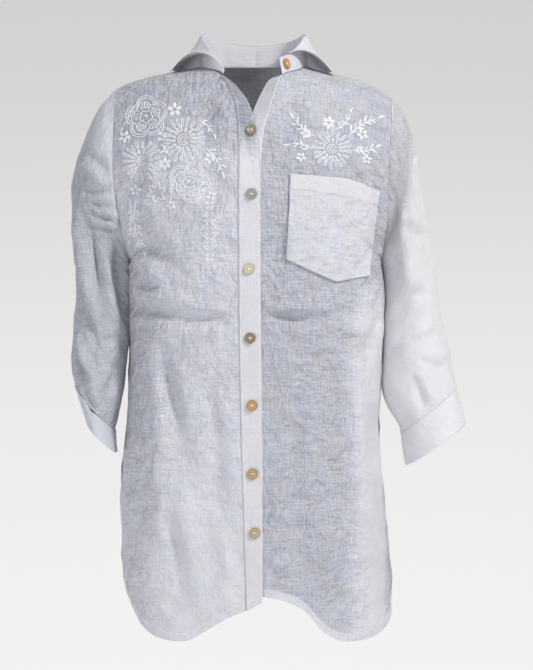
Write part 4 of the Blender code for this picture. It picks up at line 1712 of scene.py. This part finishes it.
class Pocket(Garment):
    """The patch pocket with a pointed bottom and a turned top band."""

    LAYERS = 0.46
    BAND_LAYERS = 0.30
    TURN = 0.0006

    def __init__(self, finishes: Finishes, front: Front) -> None:
        """Makes the pocket's surface on the left front.

        Args:
            finishes: The shared materials.
            front: The left front.
        """
        super().__init__(finishes)

        def place(up: Points, across: Points) -> Points:
            """Finds points lifted off the front.

            Args:
                up: 0 at the bottom edge to 1 at the top.
                across: 0 at the band's side to 1 at the outer side.

            Returns:
                The points.
            """
            top = curve(POCKET_TOP, across * 3)
            corners = np.array(POCKET_BOTTOM).T
            bottom = np.stack([softened(across * 3, range(4), values, 0.08) for values in corners], -1)
            flat = bottom + (top - bottom) * up[:, None]
            return front.panel.over(flat[:, 0], flat[:, 1], SIZES.pocket_lift)

        rows, columns = np.linspace(0, 1, 61), np.linspace(0, 1, 61)
        self.sheet = Sheet(grid_of(place, rows, columns))
        band = smooth(rows, 0.825, 0.84)
        turned = self.TURN * (band - bell(rows, 0.815, 0.012))
        self.sheet.push(turned[:, None] + ripple(self.sheet.points, 3.0, 0.040, 0.0004))
        self.sheet.layers[:] = (self.LAYERS + self.BAND_LAYERS * band)[:, None]
        low, seam, top, left, right = 0.8, 50.6, 59.4, 0.8, 59.2
        self.seams += [Seam(self.sheet, (up, up), (left, right)) for up in (low, seam)]
        self.seams += [Seam(self.sheet, (low, top), (edge, edge)) for edge in (left, right)]

    def build(self) -> None:
        """Builds the pocket."""
        self.hang(self.sheet, "pocket", SIZES.pocket_wall, (0.125, 0.135))


# ---------------------------------------------------------------- thread


class Needlework:
    """Raised strands of thread on cloth, joined in one mesh."""

    RING = np.radians((-10.0, 35.0, 90.0, 145.0, 190.0, 270.0))
    STITCH_PITCH = 0.0032
    STITCH = np.array((-0.36, -0.2, 0.2, 0.36))
    STITCH_WIDTH = 0.0007
    STITCH_HEIGHT = 0.00035

    def __init__(self) -> None:
        """Starts with no strands."""
        self.points: list[Points] = []
        self.faces: list[tuple[int, ...]] = []
        self.flat: list[tuple[float, float]] = []
        self.count = 0

    def strand(self, path: Points, normals: Points, width: Points | float, height: float) -> None:
        """Adds a strand, closed to a point at both ends.

        Args:
            path: Points on the cloth.
            normals: The cloth's outward directions there.
            width: The strand's width, one for all points or one each.
            height: How far it stands up.
        """
        run = unit(np.gradient(path, axis=0))
        side = np.cross(run, normals)
        half = np.broadcast_to(width, (len(path),))[1:-1, None, None] / 2
        wide = np.cos(self.RING)[None, :, None] * half * side[1:-1, None, :]
        tall = np.maximum(np.sin(self.RING), -0.3)[None, :, None] * height * normals[1:-1, None, :]
        rings = path[1:-1, None, :] + wide + tall
        self.points += [path[:1], rings.reshape(-1, 3), path[-1:]]
        reach = reach_along(path)
        size, last = len(self.RING), len(path) - 2
        start, end = self.count, self.count + 1 + size * last
        across = np.linspace(0, 2, size + 1) * float(np.mean(width))
        for here in range(size):
            there = (here + 1) % size
            left, right = across[here], across[here + 1]
            self.faces.append((start, start + 1 + there, start + 1 + here))
            self.flat += [(0, 0), (reach[1], right), (reach[1], left)]
            for row in range(last - 1):
                low = start + 1 + row * size
                high = low + size
                self.faces.append((low + here, low + there, high + there, high + here))
                low_at, high_at = reach[row + 1], reach[row + 2]
                self.flat += [(low_at, left), (low_at, right), (high_at, right), (high_at, left)]
            tip = end - size
            self.faces.append((tip + here, tip + there, end))
            self.flat += [(reach[-2], left), (reach[-2], right), (reach[-1], 0)]
        self.count = end + 1

    def sew(self, seam: Seam) -> None:
        """Sews a row of stitches along a seam.

        Args:
            seam: Where it lies.
        """
        sheet, pitch = seam.sheet, self.STITCH_PITCH
        stops = np.linspace(0, len(seam.up) - 1, 400)
        up, across = (np.interp(stops, range(len(line)), line) for line in (seam.up, seam.across))
        reach = reach_along(sheet.at(up, across))
        stitches = np.arange(pitch / 2, reach[-1] - pitch / 2, pitch)
        places = stitches[:, None] + pitch * self.STITCH[None, :]
        spots = np.interp(places, reach, up), np.interp(places, reach, across)
        for path, normal in zip(sheet.at(*spots), sheet.facing(*spots)):
            self.strand(path, normal, self.STITCH_WIDTH, self.STITCH_HEIGHT)

    def build(self, name: str, material: bpy.types.Material) -> None:
        """Makes all strands one object.

        Args:
            name: The object's name.
            material: Its finish.
        """
        points = np.concatenate(self.points).tolist()
        made = skin(name, points, self.faces, np.array(self.flat), material)
        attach(made, "root")
        LOG.info("%s: %d faces", name, len(self.faces))


def sew(name: str, pieces: Iterable[Garment], finishes: Finishes) -> None:
    """Sews some pieces' seams as one object.

    Args:
        name: The object's name.
        pieces: The pieces.
        finishes: The shared materials.
    """
    work = Needlework()
    for piece in pieces:
        for seam in piece.seams:
            work.sew(seam)
    work.build(name, finishes.thread)


class Embroidery:
    """Flowers, leaves and stars worked in thread on a front, each drawn by its own rule."""

    STRAIGHT = 0.0018
    OUTLINE = 0.0014
    CIRCLE = 0.0015
    VEIN = 0.0016
    POINTED = 0.0019
    LIFTS = (0.0001, 0.0011)

    def __init__(self, front: Front) -> None:
        """Starts on a front.

        Args:
            front: The front that carries the embroidery.
        """
        self.sheet = front.panel
        self.work = Needlework()

    def stroke(self, path: Points, width: Points | float = 0.0016, height: float = 0.0009) -> None:
        """Works one strand.

        Args:
            path: Places as x and z.
            width: The strand's width, one for all places or one each.
            height: How far it stands up.
        """
        on_cloth, above = (self.sheet.over(*path.T, np.full(len(path), lift)) for lift in self.LIFTS)
        self.work.strand(on_cloth, unit(above - on_cloth), width, height)

    def loop(self, root: Points, turn: float, length: float, width: float) -> None:
        """Works a petal's outline as a long loop.

        Args:
            root: Where it starts.
            turn: Its heading, in radians.
            length: Its length.
            width: Its width.
        """
        part, head = np.linspace(0.02, 0.98, 15), ray(turn)
        along = length * np.sin(math.pi * part) ** 0.8
        off = -0.5 * width * np.sin(2 * math.pi * part)
        self.stroke(root + along[:, None] * head + off[:, None] * aside(head), self.OUTLINE)

    def leaf(self, root: Points, turn: float, length: float, width: float) -> None:
        """Works a filled leaf or petal in satin stitch.

        Args:
            root: Where it starts.
            turn: Its heading, in radians.
            length: Its length.
            width: Its width.
        """
        part, head = np.linspace(0, 1, 9), ray(turn)
        bow = 0.12 * length * np.sin(math.pi * part)
        path = root + (part * length)[:, None] * head + bow[:, None] * aside(head)
        self.stroke(path, width * np.sin(math.pi * np.clip(part, 0.04, 0.96)) ** 0.7, 0.0010)

    def ring(self, middle: Points, radius: float, wave: float = 0.0, lobes: int = 0, turn: float = 0.0) -> None:
        """Works a closed ring, waved if it has lobes.

        Args:
            middle: Its middle.
            radius: Its radius.
            wave: How deep its lobes are, as a share of the radius.
            lobes: How many there are.
            turn: Where the first lobe lies, in radians.
        """
        angle = np.linspace(0, 2 * math.pi * 0.995, 12 + 8 * lobes) + turn
        size = radius * (1 - wave + wave * np.abs(np.cos(lobes * (angle - turn) / 2)) ** 0.6)
        self.stroke(middle + size[:, None] * ray(angle), self.CIRCLE)

    def daisy(self, x: float, z: float, radius: float, petals: int, turn: float) -> None:
        """Works a daisy of outlined petals round a double ring.

        Args:
            x: Its middle across.
            z: Its middle's height.
            radius: Its radius.
            petals: How many petals it has.
            turn: Where its first petal lies, in radians.
        """
        middle = np.array([x, z])
        for count, start, reach in ((petals, 0.50, 0.50), (petals - 5, 0.28, 0.34)):
            for number in range(count):
                angle = turn + 2 * math.pi * (number + 0.18 * math.sin(5.1 * number)) / count
                length = radius * (reach + 0.06 * math.sin(3.7 * number))
                self.loop(middle + start * radius * ray(angle), angle, length, 4.2 * start * radius / count)
        for share in (0.24, 0.12):
            self.ring(middle, radius * share)

    def rose(self, x: float, z: float, radius: float, turn: float) -> None:
        """Works an open blossom of broad petals, veined towards the middle.

        Args:
            x: Its middle across.
            z: Its middle's height.
            radius: Its radius.
            turn: Where its first petal lies, in radians.
        """
        middle = np.array([x, z])
        petals = 5
        for share, wave, off in ((1.0, 0.30, 0.0), (0.88, 0.31, 0.0), (0.70, 0.24, 0.2), (0.30, 0.25, 0.6)):
            self.ring(middle, radius * share, wave, petals, turn + off)
        for number in range(petals):
            for off in (-0.42, -0.21, 0.0, 0.21, 0.42):
                angle = turn + 2 * math.pi * number / petals + off
                length = radius * (0.42 - 0.4 * abs(off))
                self.leaf(middle + 0.34 * radius * ray(angle), angle, length, self.VEIN)
        self.leaf(middle + (-0.0025, 0), 0.3, 0.005, 0.004)

    def blossom(self, x: float, z: float, radius: float, petals: int = 5, turn: float = 0.3) -> None:
        """Works a small blossom of filled petals.

        Args:
            x: Its middle across.
            z: Its middle's height.
            radius: Its radius.
            petals: How many petals it has.
            turn: Where its first petal lies, in radians.
        """
        middle = np.array([x, z])
        for number in range(petals):
            angle = turn + 2 * math.pi * number / petals
            self.leaf(middle + 0.15 * radius * ray(angle), angle, radius * 0.85, radius * 0.60)

    def star(self, x: float, z: float, radius: float, points: int, turn: float) -> None:
        """Works a star's outline.

        Args:
            x: Its middle across.
            z: Its middle's height.
            radius: Its radius.
            points: How many points it has.
            turn: Where its first point lies, in radians.
        """
        steps = np.arange(points * 8 + 1) / 4
        size = radius * (1 - 0.56 * np.abs((steps + 1) % 2 - 1))
        self.stroke(np.array([x, z]) + size[:, None] * ray(turn + math.pi * steps / points), self.POINTED)

    def sprig(self, start: tuple[float, float], end: tuple[float, float], bow: float, leaves: int, size: float) -> None:
        """Works a curved stem with leaves on both sides and one at its tip.

        Args:
            start: The stem's root.
            end: Its tip.
            bow: How far its middle bends sideways.
            leaves: How many pairs of leaves it has.
            size: A leaf's length.
        """
        low, high = np.array(start), np.array(end)
        part = np.linspace(0, 1, 15)
        bent = (bow * 4 * part * (1 - part))[:, None] * aside(unit(high - low))
        stem = low + part[:, None] * (high - low) + bent
        self.stroke(stem, self.STRAIGHT)
        heading = np.arctan2(*np.gradient(stem, axis=0).T[::-1])
        for number in range(leaves):
            at = int(3 + number * 11 / leaves)
            for side in (-1, 1):
                length = size * (0.8 + 0.2 * math.sin(2.6 * number + side))
                self.leaf(stem[at], heading[at] + side * 0.75, length, length * 0.30)
        self.leaf(stem[-1], heading[-1], size, size * 0.30)

    def diamonds(self, x: float, z: float, width: float, rows: int) -> None:
        """Works a column of nested diamonds in straight stitches.

        Args:
            x: The column's middle across.
            z: Its middle's height.
            width: The widest diamond's width.
            rows: How many diamonds it has.
        """
        for row in range(rows):
            share = 1 - 0.45 * abs(2 * row / (rows - 1) - 1)
            middle = np.array([x, z + width * 0.62 * (row - (rows - 1) / 2)])
            for scale in (0.5, 0.28):
                size = width * share * scale
                corners = size * np.array([(1, 0), (0, 0.85), (-1, 0), (0, -0.85), (1, 0)])
                for first, second in zip(corners, corners[1:]):
                    part = np.linspace(0.03, 0.97, 5)[:, None]
                    self.stroke(middle + first + part * (second - first), self.STRAIGHT)


def embroider(right: Front, left: Front, finishes: Finishes) -> None:
    """Works both fronts' embroidery.

    Args:
        right: The right front.
        left: The left front.
        finishes: The shared materials.
    """
    chest = Embroidery(right)
    chest.rose(-0.147, -0.068, 0.0300, 0.4)
    chest.daisy(-0.096, -0.102, 0.0300, 21, 0.1)
    chest.daisy(-0.153, -0.128, 0.0270, 19, 0.5)
    chest.rose(-0.088, -0.160, 0.0280, 1.2)
    chest.star(-0.132, -0.172, 0.0140, 6, 0.3)
    for x, z, radius, petals, turn in (
        (-0.108, -0.060, 0.0105, 5, 0.2), (-0.178, -0.094, 0.0090, 5, 0.9), (-0.121, -0.134, 0.0090, 6, 0.4),
        (-0.060, -0.128, 0.0085, 5, 0.7), (-0.162, -0.167, 0.0085, 5, 0.1), (-0.112, -0.190, 0.0070, 5, 0.6),
        (-0.126, -0.096, 0.0080, 3, 1.9), (-0.122, -0.116, 0.0070, 3, 3.4), (-0.058, -0.178, 0.0070, 4, 0.3),
    ):
        chest.blossom(x, z, radius, petals, turn)
    chest.sprig((-0.068, -0.112), (-0.044, -0.146), 0.004, 4, 0.0110)
    chest.sprig((-0.160, -0.178), (-0.153, -0.248), -0.006, 8, 0.0125)
    chest.sprig((-0.170, -0.176), (-0.172, -0.232), 0.003, 6, 0.0095)
    chest.sprig((-0.166, -0.050), (-0.180, -0.080), 0.002, 3, 0.0090)
    chest.sprig((-0.076, -0.076), (-0.056, -0.094), 0.003, 2, 0.0095)
    chest.sprig((-0.116, -0.150), (-0.112, -0.178), 0.003, 2, 0.0080)
    chest.diamonds(-0.060, -0.226, 0.028, 5)
    chest.work.build("embroidery_right", finishes.thread)
    yoke = Embroidery(left)
    yoke.daisy(0.104, -0.114, 0.0260, 20, 0.2)
    yoke.sprig((0.124, -0.100), (0.168, -0.068), 0.005, 5, 0.0125)
    yoke.sprig((0.130, -0.114), (0.164, -0.110), -0.003, 4, 0.0115)
    yoke.sprig((0.084, -0.098), (0.054, -0.074), 0.004, 4, 0.0115)
    yoke.sprig((0.078, -0.116), (0.048, -0.108), -0.003, 3, 0.0105)
    yoke.sprig((0.108, -0.088), (0.130, -0.064), -0.003, 3, 0.0100)
    for x, z, radius, petals, turn in (
        (0.100, -0.078, 0.0095, 6, 0.2), (0.146, -0.092, 0.0085, 5, 0.6), (0.068, -0.094, 0.0080, 5, 0.4),
        (0.152, -0.126, 0.0075, 5, 0.1), (0.062, -0.126, 0.0070, 5, 0.8),
    ):
        yoke.blossom(x, z, radius, petals, turn)
    yoke.work.build("embroidery_left", finishes.thread)


# ---------------------------------------------------------------- buttons


@dataclass(frozen=True)
class Tint:
    """A button's own colours."""

    face: Colour
    rim: Colour


TINTS = (
    Tint((0.27, 0.22, 0.13), (0.15, 0.12, 0.07)),
    Tint((0.28, 0.31, 0.25), (0.19, 0.22, 0.17)),
    Tint((0.56, 0.52, 0.34), (0.42, 0.38, 0.22)),
    Tint((0.30, 0.19, 0.10), (0.17, 0.10, 0.05)),
    Tint((0.50, 0.28, 0.09), (0.33, 0.17, 0.05)),
    Tint((0.46, 0.31, 0.15), (0.30, 0.19, 0.09)),
    Tint((0.44, 0.37, 0.19), (0.30, 0.24, 0.12)),
)
COLLAR_TINT = Tint((0.56, 0.30, 0.09), (0.38, 0.20, 0.06))


def select(*pieces: bpy.types.Object) -> None:
    """Selects these objects alone, the first as the active one.

    Args:
        pieces: The objects.
    """
    bpy.ops.object.select_all(action="DESELECT")
    for piece in pieces:
        piece.select_set(True)
    bpy.context.view_layer.objects.active = pieces[0]


class Button:
    """A turned shell button with four holes, sewn on with a cross of thread."""

    PROFILE = (
        (0.00, 0.72), (0.50, 0.72), (0.62, 0.80), (0.76, 0.97), (0.88, 1.00), (0.97, 0.90),
        (1.00, 0.62), (0.97, 0.35), (0.80, 0.00), (0.00, 0.00),
    )
    STEPS = 40
    HOLE_RADIUS = 0.00085
    HOLE_PLACE = 0.0017
    STRAND = (0.001955, 0.00036, 0.00050)
    STRAND_OFF = 0.00026
    STRAND_LIFT = 0.0002

    def __init__(self, name: str, seat: Points, facing: Points, tint: Tint, finishes: Finishes) -> None:
        """Keeps where the button lies.

        Args:
            name: The solid's node name.
            seat: The middle of its underside.
            facing: Its outward direction.
            tint: Its colours.
            finishes: The shared materials.
        """
        self.name = name
        self.seat = Vector(seat)
        self.turn = Vector((0, 0, 1)).rotation_difference(Vector(facing))
        self.tint = tint
        self.finishes = finishes

    def place(self, made: bpy.types.Object) -> None:
        """Moves a piece from the origin to the button's seat, and applies the move.

        Args:
            made: The piece.
        """
        made.rotation_mode = "QUATERNION"
        made.rotation_quaternion = self.turn
        made.location = self.seat
        select(made)
        bpy.ops.object.transform_apply(location=True, rotation=True, scale=True)

    def disc(self) -> bpy.types.Object:
        """Turns the disc and bores its four holes.

        Returns:
            The disc.
        """
        mesh = bpy.data.meshes.new(self.name + "_shell")
        points = [(r * SIZES.button_radius, 0.0, h * SIZES.button_thickness) for r, h in self.PROFILE]
        mesh.from_pydata(points, [(i, i + 1) for i in range(len(points) - 1)], [])
        made = placed(self.name + "_shell", mesh)
        turned = made.modifiers.new("Turn", "SCREW")
        turned.steps = turned.render_steps = self.STEPS
        turned.use_merge_vertices = True
        turned.merge_threshold = 0.00005
        bores = [self.bore(made, x, y) for x in (-1, 1) for y in (-1, 1)]
        select(made)
        for modifier in [item.name for item in made.modifiers]:
            bpy.ops.object.modifier_apply(modifier=modifier)
        for bore in bores:
            bpy.data.objects.remove(bore)
        bpy.ops.object.shade_smooth_by_angle(angle=math.radians(35))
        return made

    def bore(self, disc: bpy.types.Object, x: int, y: int) -> bpy.types.Object:
        """Adds a hole's cutter.

        Args:
            disc: The disc to cut.
            x: -1 or 1, the hole's side.
            y: -1 or 1, the hole's other side.

        Returns:
            The cutter.
        """
        bpy.ops.mesh.primitive_cylinder_add(
            vertices=14, radius=self.HOLE_RADIUS, depth=0.01,
            location=(x * self.HOLE_PLACE, y * self.HOLE_PLACE, 0))
        cutter = bpy.context.object
        cut = disc.modifiers.new("Hole", "BOOLEAN")
        cut.operation = "DIFFERENCE"
        cut.object = cutter
        return cutter

    def thread(self) -> bpy.types.Object:
        """Lays the cross of thread over the holes.

        Returns:
            The thread.
        """
        strands = []
        top = SIZES.button_thickness * self.PROFILE[0][1] + self.STRAND_LIFT
        for turn in np.radians((45, 135)):
            for off in (-self.STRAND_OFF, self.STRAND_OFF):
                bpy.ops.mesh.primitive_uv_sphere_add(segments=12, ring_count=8, radius=1, location=(0, 0, 0))
                strand = bpy.context.object
                strand.scale = self.STRAND
                strand.rotation_euler = (0, 0, turn)
                strand.location = (*(off * aside(ray(turn))), top)
                strands.append(strand)
        select(*strands)
        bpy.ops.object.join()
        made = bpy.context.object
        bpy.ops.object.transform_apply(location=True, rotation=True, scale=True)
        bpy.ops.object.shade_smooth()
        made.name = self.name + "_thread"
        return made

    def build(self) -> None:
        """Builds the button in place of its solid."""
        disc, thread = self.disc(), self.thread()
        shell = Shell(self.name, self.tint.face, self.tint.rim, SIZES.button_radius, tuple(self.seat))
        disc.data.materials.append(shell.make())
        thread.data.materials.append(self.finishes.button_thread)
        for made, slot in ((disc, "shell_button"), (thread, "embroidery_thread")):
            self.place(made)
            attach(made, "root")
        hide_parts(self.name)
        LOG.info("%s: shell and thread", self.name)


def band_buttons(front: Front, finishes: Finishes) -> list[Button]:
    """Seats the buttons on the right band.

    Args:
        front: The right front.
        finishes: The shared materials.

    Returns:
        The buttons.
    """
    buttons, reach = [], 0.008
    for number, ((x, z), tint) in enumerate(zip(BUTTONS, TINTS), 1):
        places = np.array([[x, x, x - reach, x + reach], [z - reach, z + reach, z, z]])
        low, high, left, right = front.band.over(*places, np.zeros(4))
        facing = unit(np.cross(right - left, high - low))
        seat = (left + right) / 2 + facing * SIZES.button_gap
        buttons.append(Button("button_%d" % number, seat, facing, tint, finishes))
    return buttons


def collar_button(collar: Collar, finishes: Finishes) -> Button:
    """Seats the button on the left end of the stand.

    Args:
        collar: The collar.
        finishes: The shared materials.

    Returns:
        The button.
    """
    station, up = COLLAR_BUTTON
    places = np.array([[station, station - 0.1, station + 0.1, station, station], [up, up, up, 0, 1]])
    middle, left, right, low, high = collar.stand_points(*places)
    facing = unit(np.cross(right - left, high - low))
    facing = facing if facing[1] < 0 else -facing
    return Button("button_collar", middle + facing * SIZES.button_gap, facing, COLLAR_TINT, finishes)


# ---------------------------------------------------------------- studio


@dataclass(frozen=True)
class Lamp:
    """A soft area light aimed at the blouse's middle."""

    name: str
    place: tuple[float, float, float]
    size: float
    power: float
    colour: Colour = (1.0, 1.0, 1.0)


class Studio:
    """The sweep, lights and camera."""

    FLOOR_Z = -1.05
    WALL_Y = 4.2
    BEND = 1.2
    WIDTH = 12.0
    SKY = (0.90, 0.93, 1.0, 1.0)
    SKY_POWER = 0.26
    MIDDLE = Vector((0.0, 0.0, -0.38))
    CAMERA = (0.0161, -2.4, -0.364)
    LENS = 92.1
    LAMPS = (
        Lamp("key", (1.7, -1.6, 1.5), 0.5, 67.0, (1.0, 0.99, 0.97)),
        Lamp("fill", (-1.1, -2.3, -0.6), 1.6, 27.0, (0.96, 0.97, 1.0)),
        Lamp("top", (0.3, -0.7, 2.2), 0.8, 5.0),
        Lamp("rear", (-0.9, 1.5, 1.7), 1.0, 15.0),
    )

    def sweep(self) -> None:
        """Makes the floor and the wall behind as one curved sheet."""
        start, floor = self.WALL_Y - self.BEND, self.FLOOR_Z
        turns = np.linspace(0, math.pi / 2, 25)
        profile = [(-5.0, floor), (start, floor)]
        profile += [(start + self.BEND * math.sin(a), floor + self.BEND * (1 - math.cos(a))) for a in turns]
        profile.append((self.WALL_Y, 5.0))
        points = [(x, y, z) for y, z in profile for x in (-self.WIDTH / 2, self.WIDTH / 2)]
        faces = [(2 * i, 2 * i + 1, 2 * i + 3, 2 * i + 2) for i in range(len(profile) - 1)]
        skin("sweep", points, faces, np.zeros(8 * len(faces)), Backdrop().make())

    def light(self, lamp: Lamp) -> None:
        """Hangs one light.

        Args:
            lamp: What to hang.
        """
        data = bpy.data.lights.new(lamp.name, "AREA")
        data.shape = "DISK"
        data.size = lamp.size
        data.energy = lamp.power
        data.color = lamp.colour
        made = placed(lamp.name, data)
        made.location = lamp.place
        made.rotation_euler = (self.MIDDLE - made.location).to_track_quat("-Z", "Y").to_euler()

    def build(self) -> None:
        """Sets up the whole studio."""
        self.sweep()
        for lamp in self.LAMPS:
            self.light(lamp)
        world = bpy.data.worlds.new("studio")
        world.use_nodes = True
        for socket, value in zip(world.node_tree.nodes["Background"].inputs, (self.SKY, self.SKY_POWER)):
            socket.default_value = value
        bpy.context.scene.world = world
        bpy.context.scene.view_settings.view_transform = "Standard"
        data = bpy.data.cameras.new("camera")
        data.lens = self.LENS
        made = placed("camera", data)
        made.location = self.CAMERA
        made.rotation_euler = (math.pi / 2, 0, 0)
        bpy.context.scene.camera = made


# Lit and shaded copies of the linen: painted shade on the right sleeve, painted light on the left.
LIT_AND_SHADED_SLEEVE_LINENS = {
    Side.RIGHT: Linen(
        "shaded_linen", grey=(0.59, 0.60, 0.65), blue=(0.61, 0.63, 0.73), double=(0.60, 0.61, 0.66),
        thin=(0.46, 0.465, 0.49), crumple=0.6),
    Side.LEFT: Linen(
        "lit_linen", grey=(0.675, 0.68, 0.695), blue=(0.695, 0.705, 0.755), double=(0.705, 0.705, 0.73),
        thin=(0.515, 0.525, 0.565), crumple=0.6),
}


def main() -> None:
    """Builds the blouse and its studio."""
    logging.basicConfig(level=logging.INFO, format="%(message)s")
    finishes = Finishes(
        linen=Linen("linen").make(),
        sleeves={side: linen.make() for side, linen in LIT_AND_SHADED_SLEEVE_LINENS.items()},
        thread=Thread("stitching").make(),
        button_thread=Thread("button_thread", (0.90, 0.91, 0.93), (0.76, 0.77, 0.80)).make(),
    )
    right, left = fronts = [Front(finishes, side) for side in Side]
    back, collar, pocket = Back(finishes), Collar(finishes), Pocket(finishes, left)
    sleeves = [Sleeve(finishes, side) for side in Side]
    for piece in [*fronts, back, *sleeves, collar, pocket]:
        piece.build()
    embroider(right, left, finishes)
    sew("front_stitching", [*fronts, pocket], finishes)
    sew("back_stitching", [back], finishes)
    sew("sleeve_stitching", sleeves, finishes)
    sew("collar_stitching", [collar], finishes)
    for button in [*band_buttons(right, finishes), collar_button(collar, finishes)]:
        button.build()
    Studio().build()


if __name__ == "__main__":
    main()
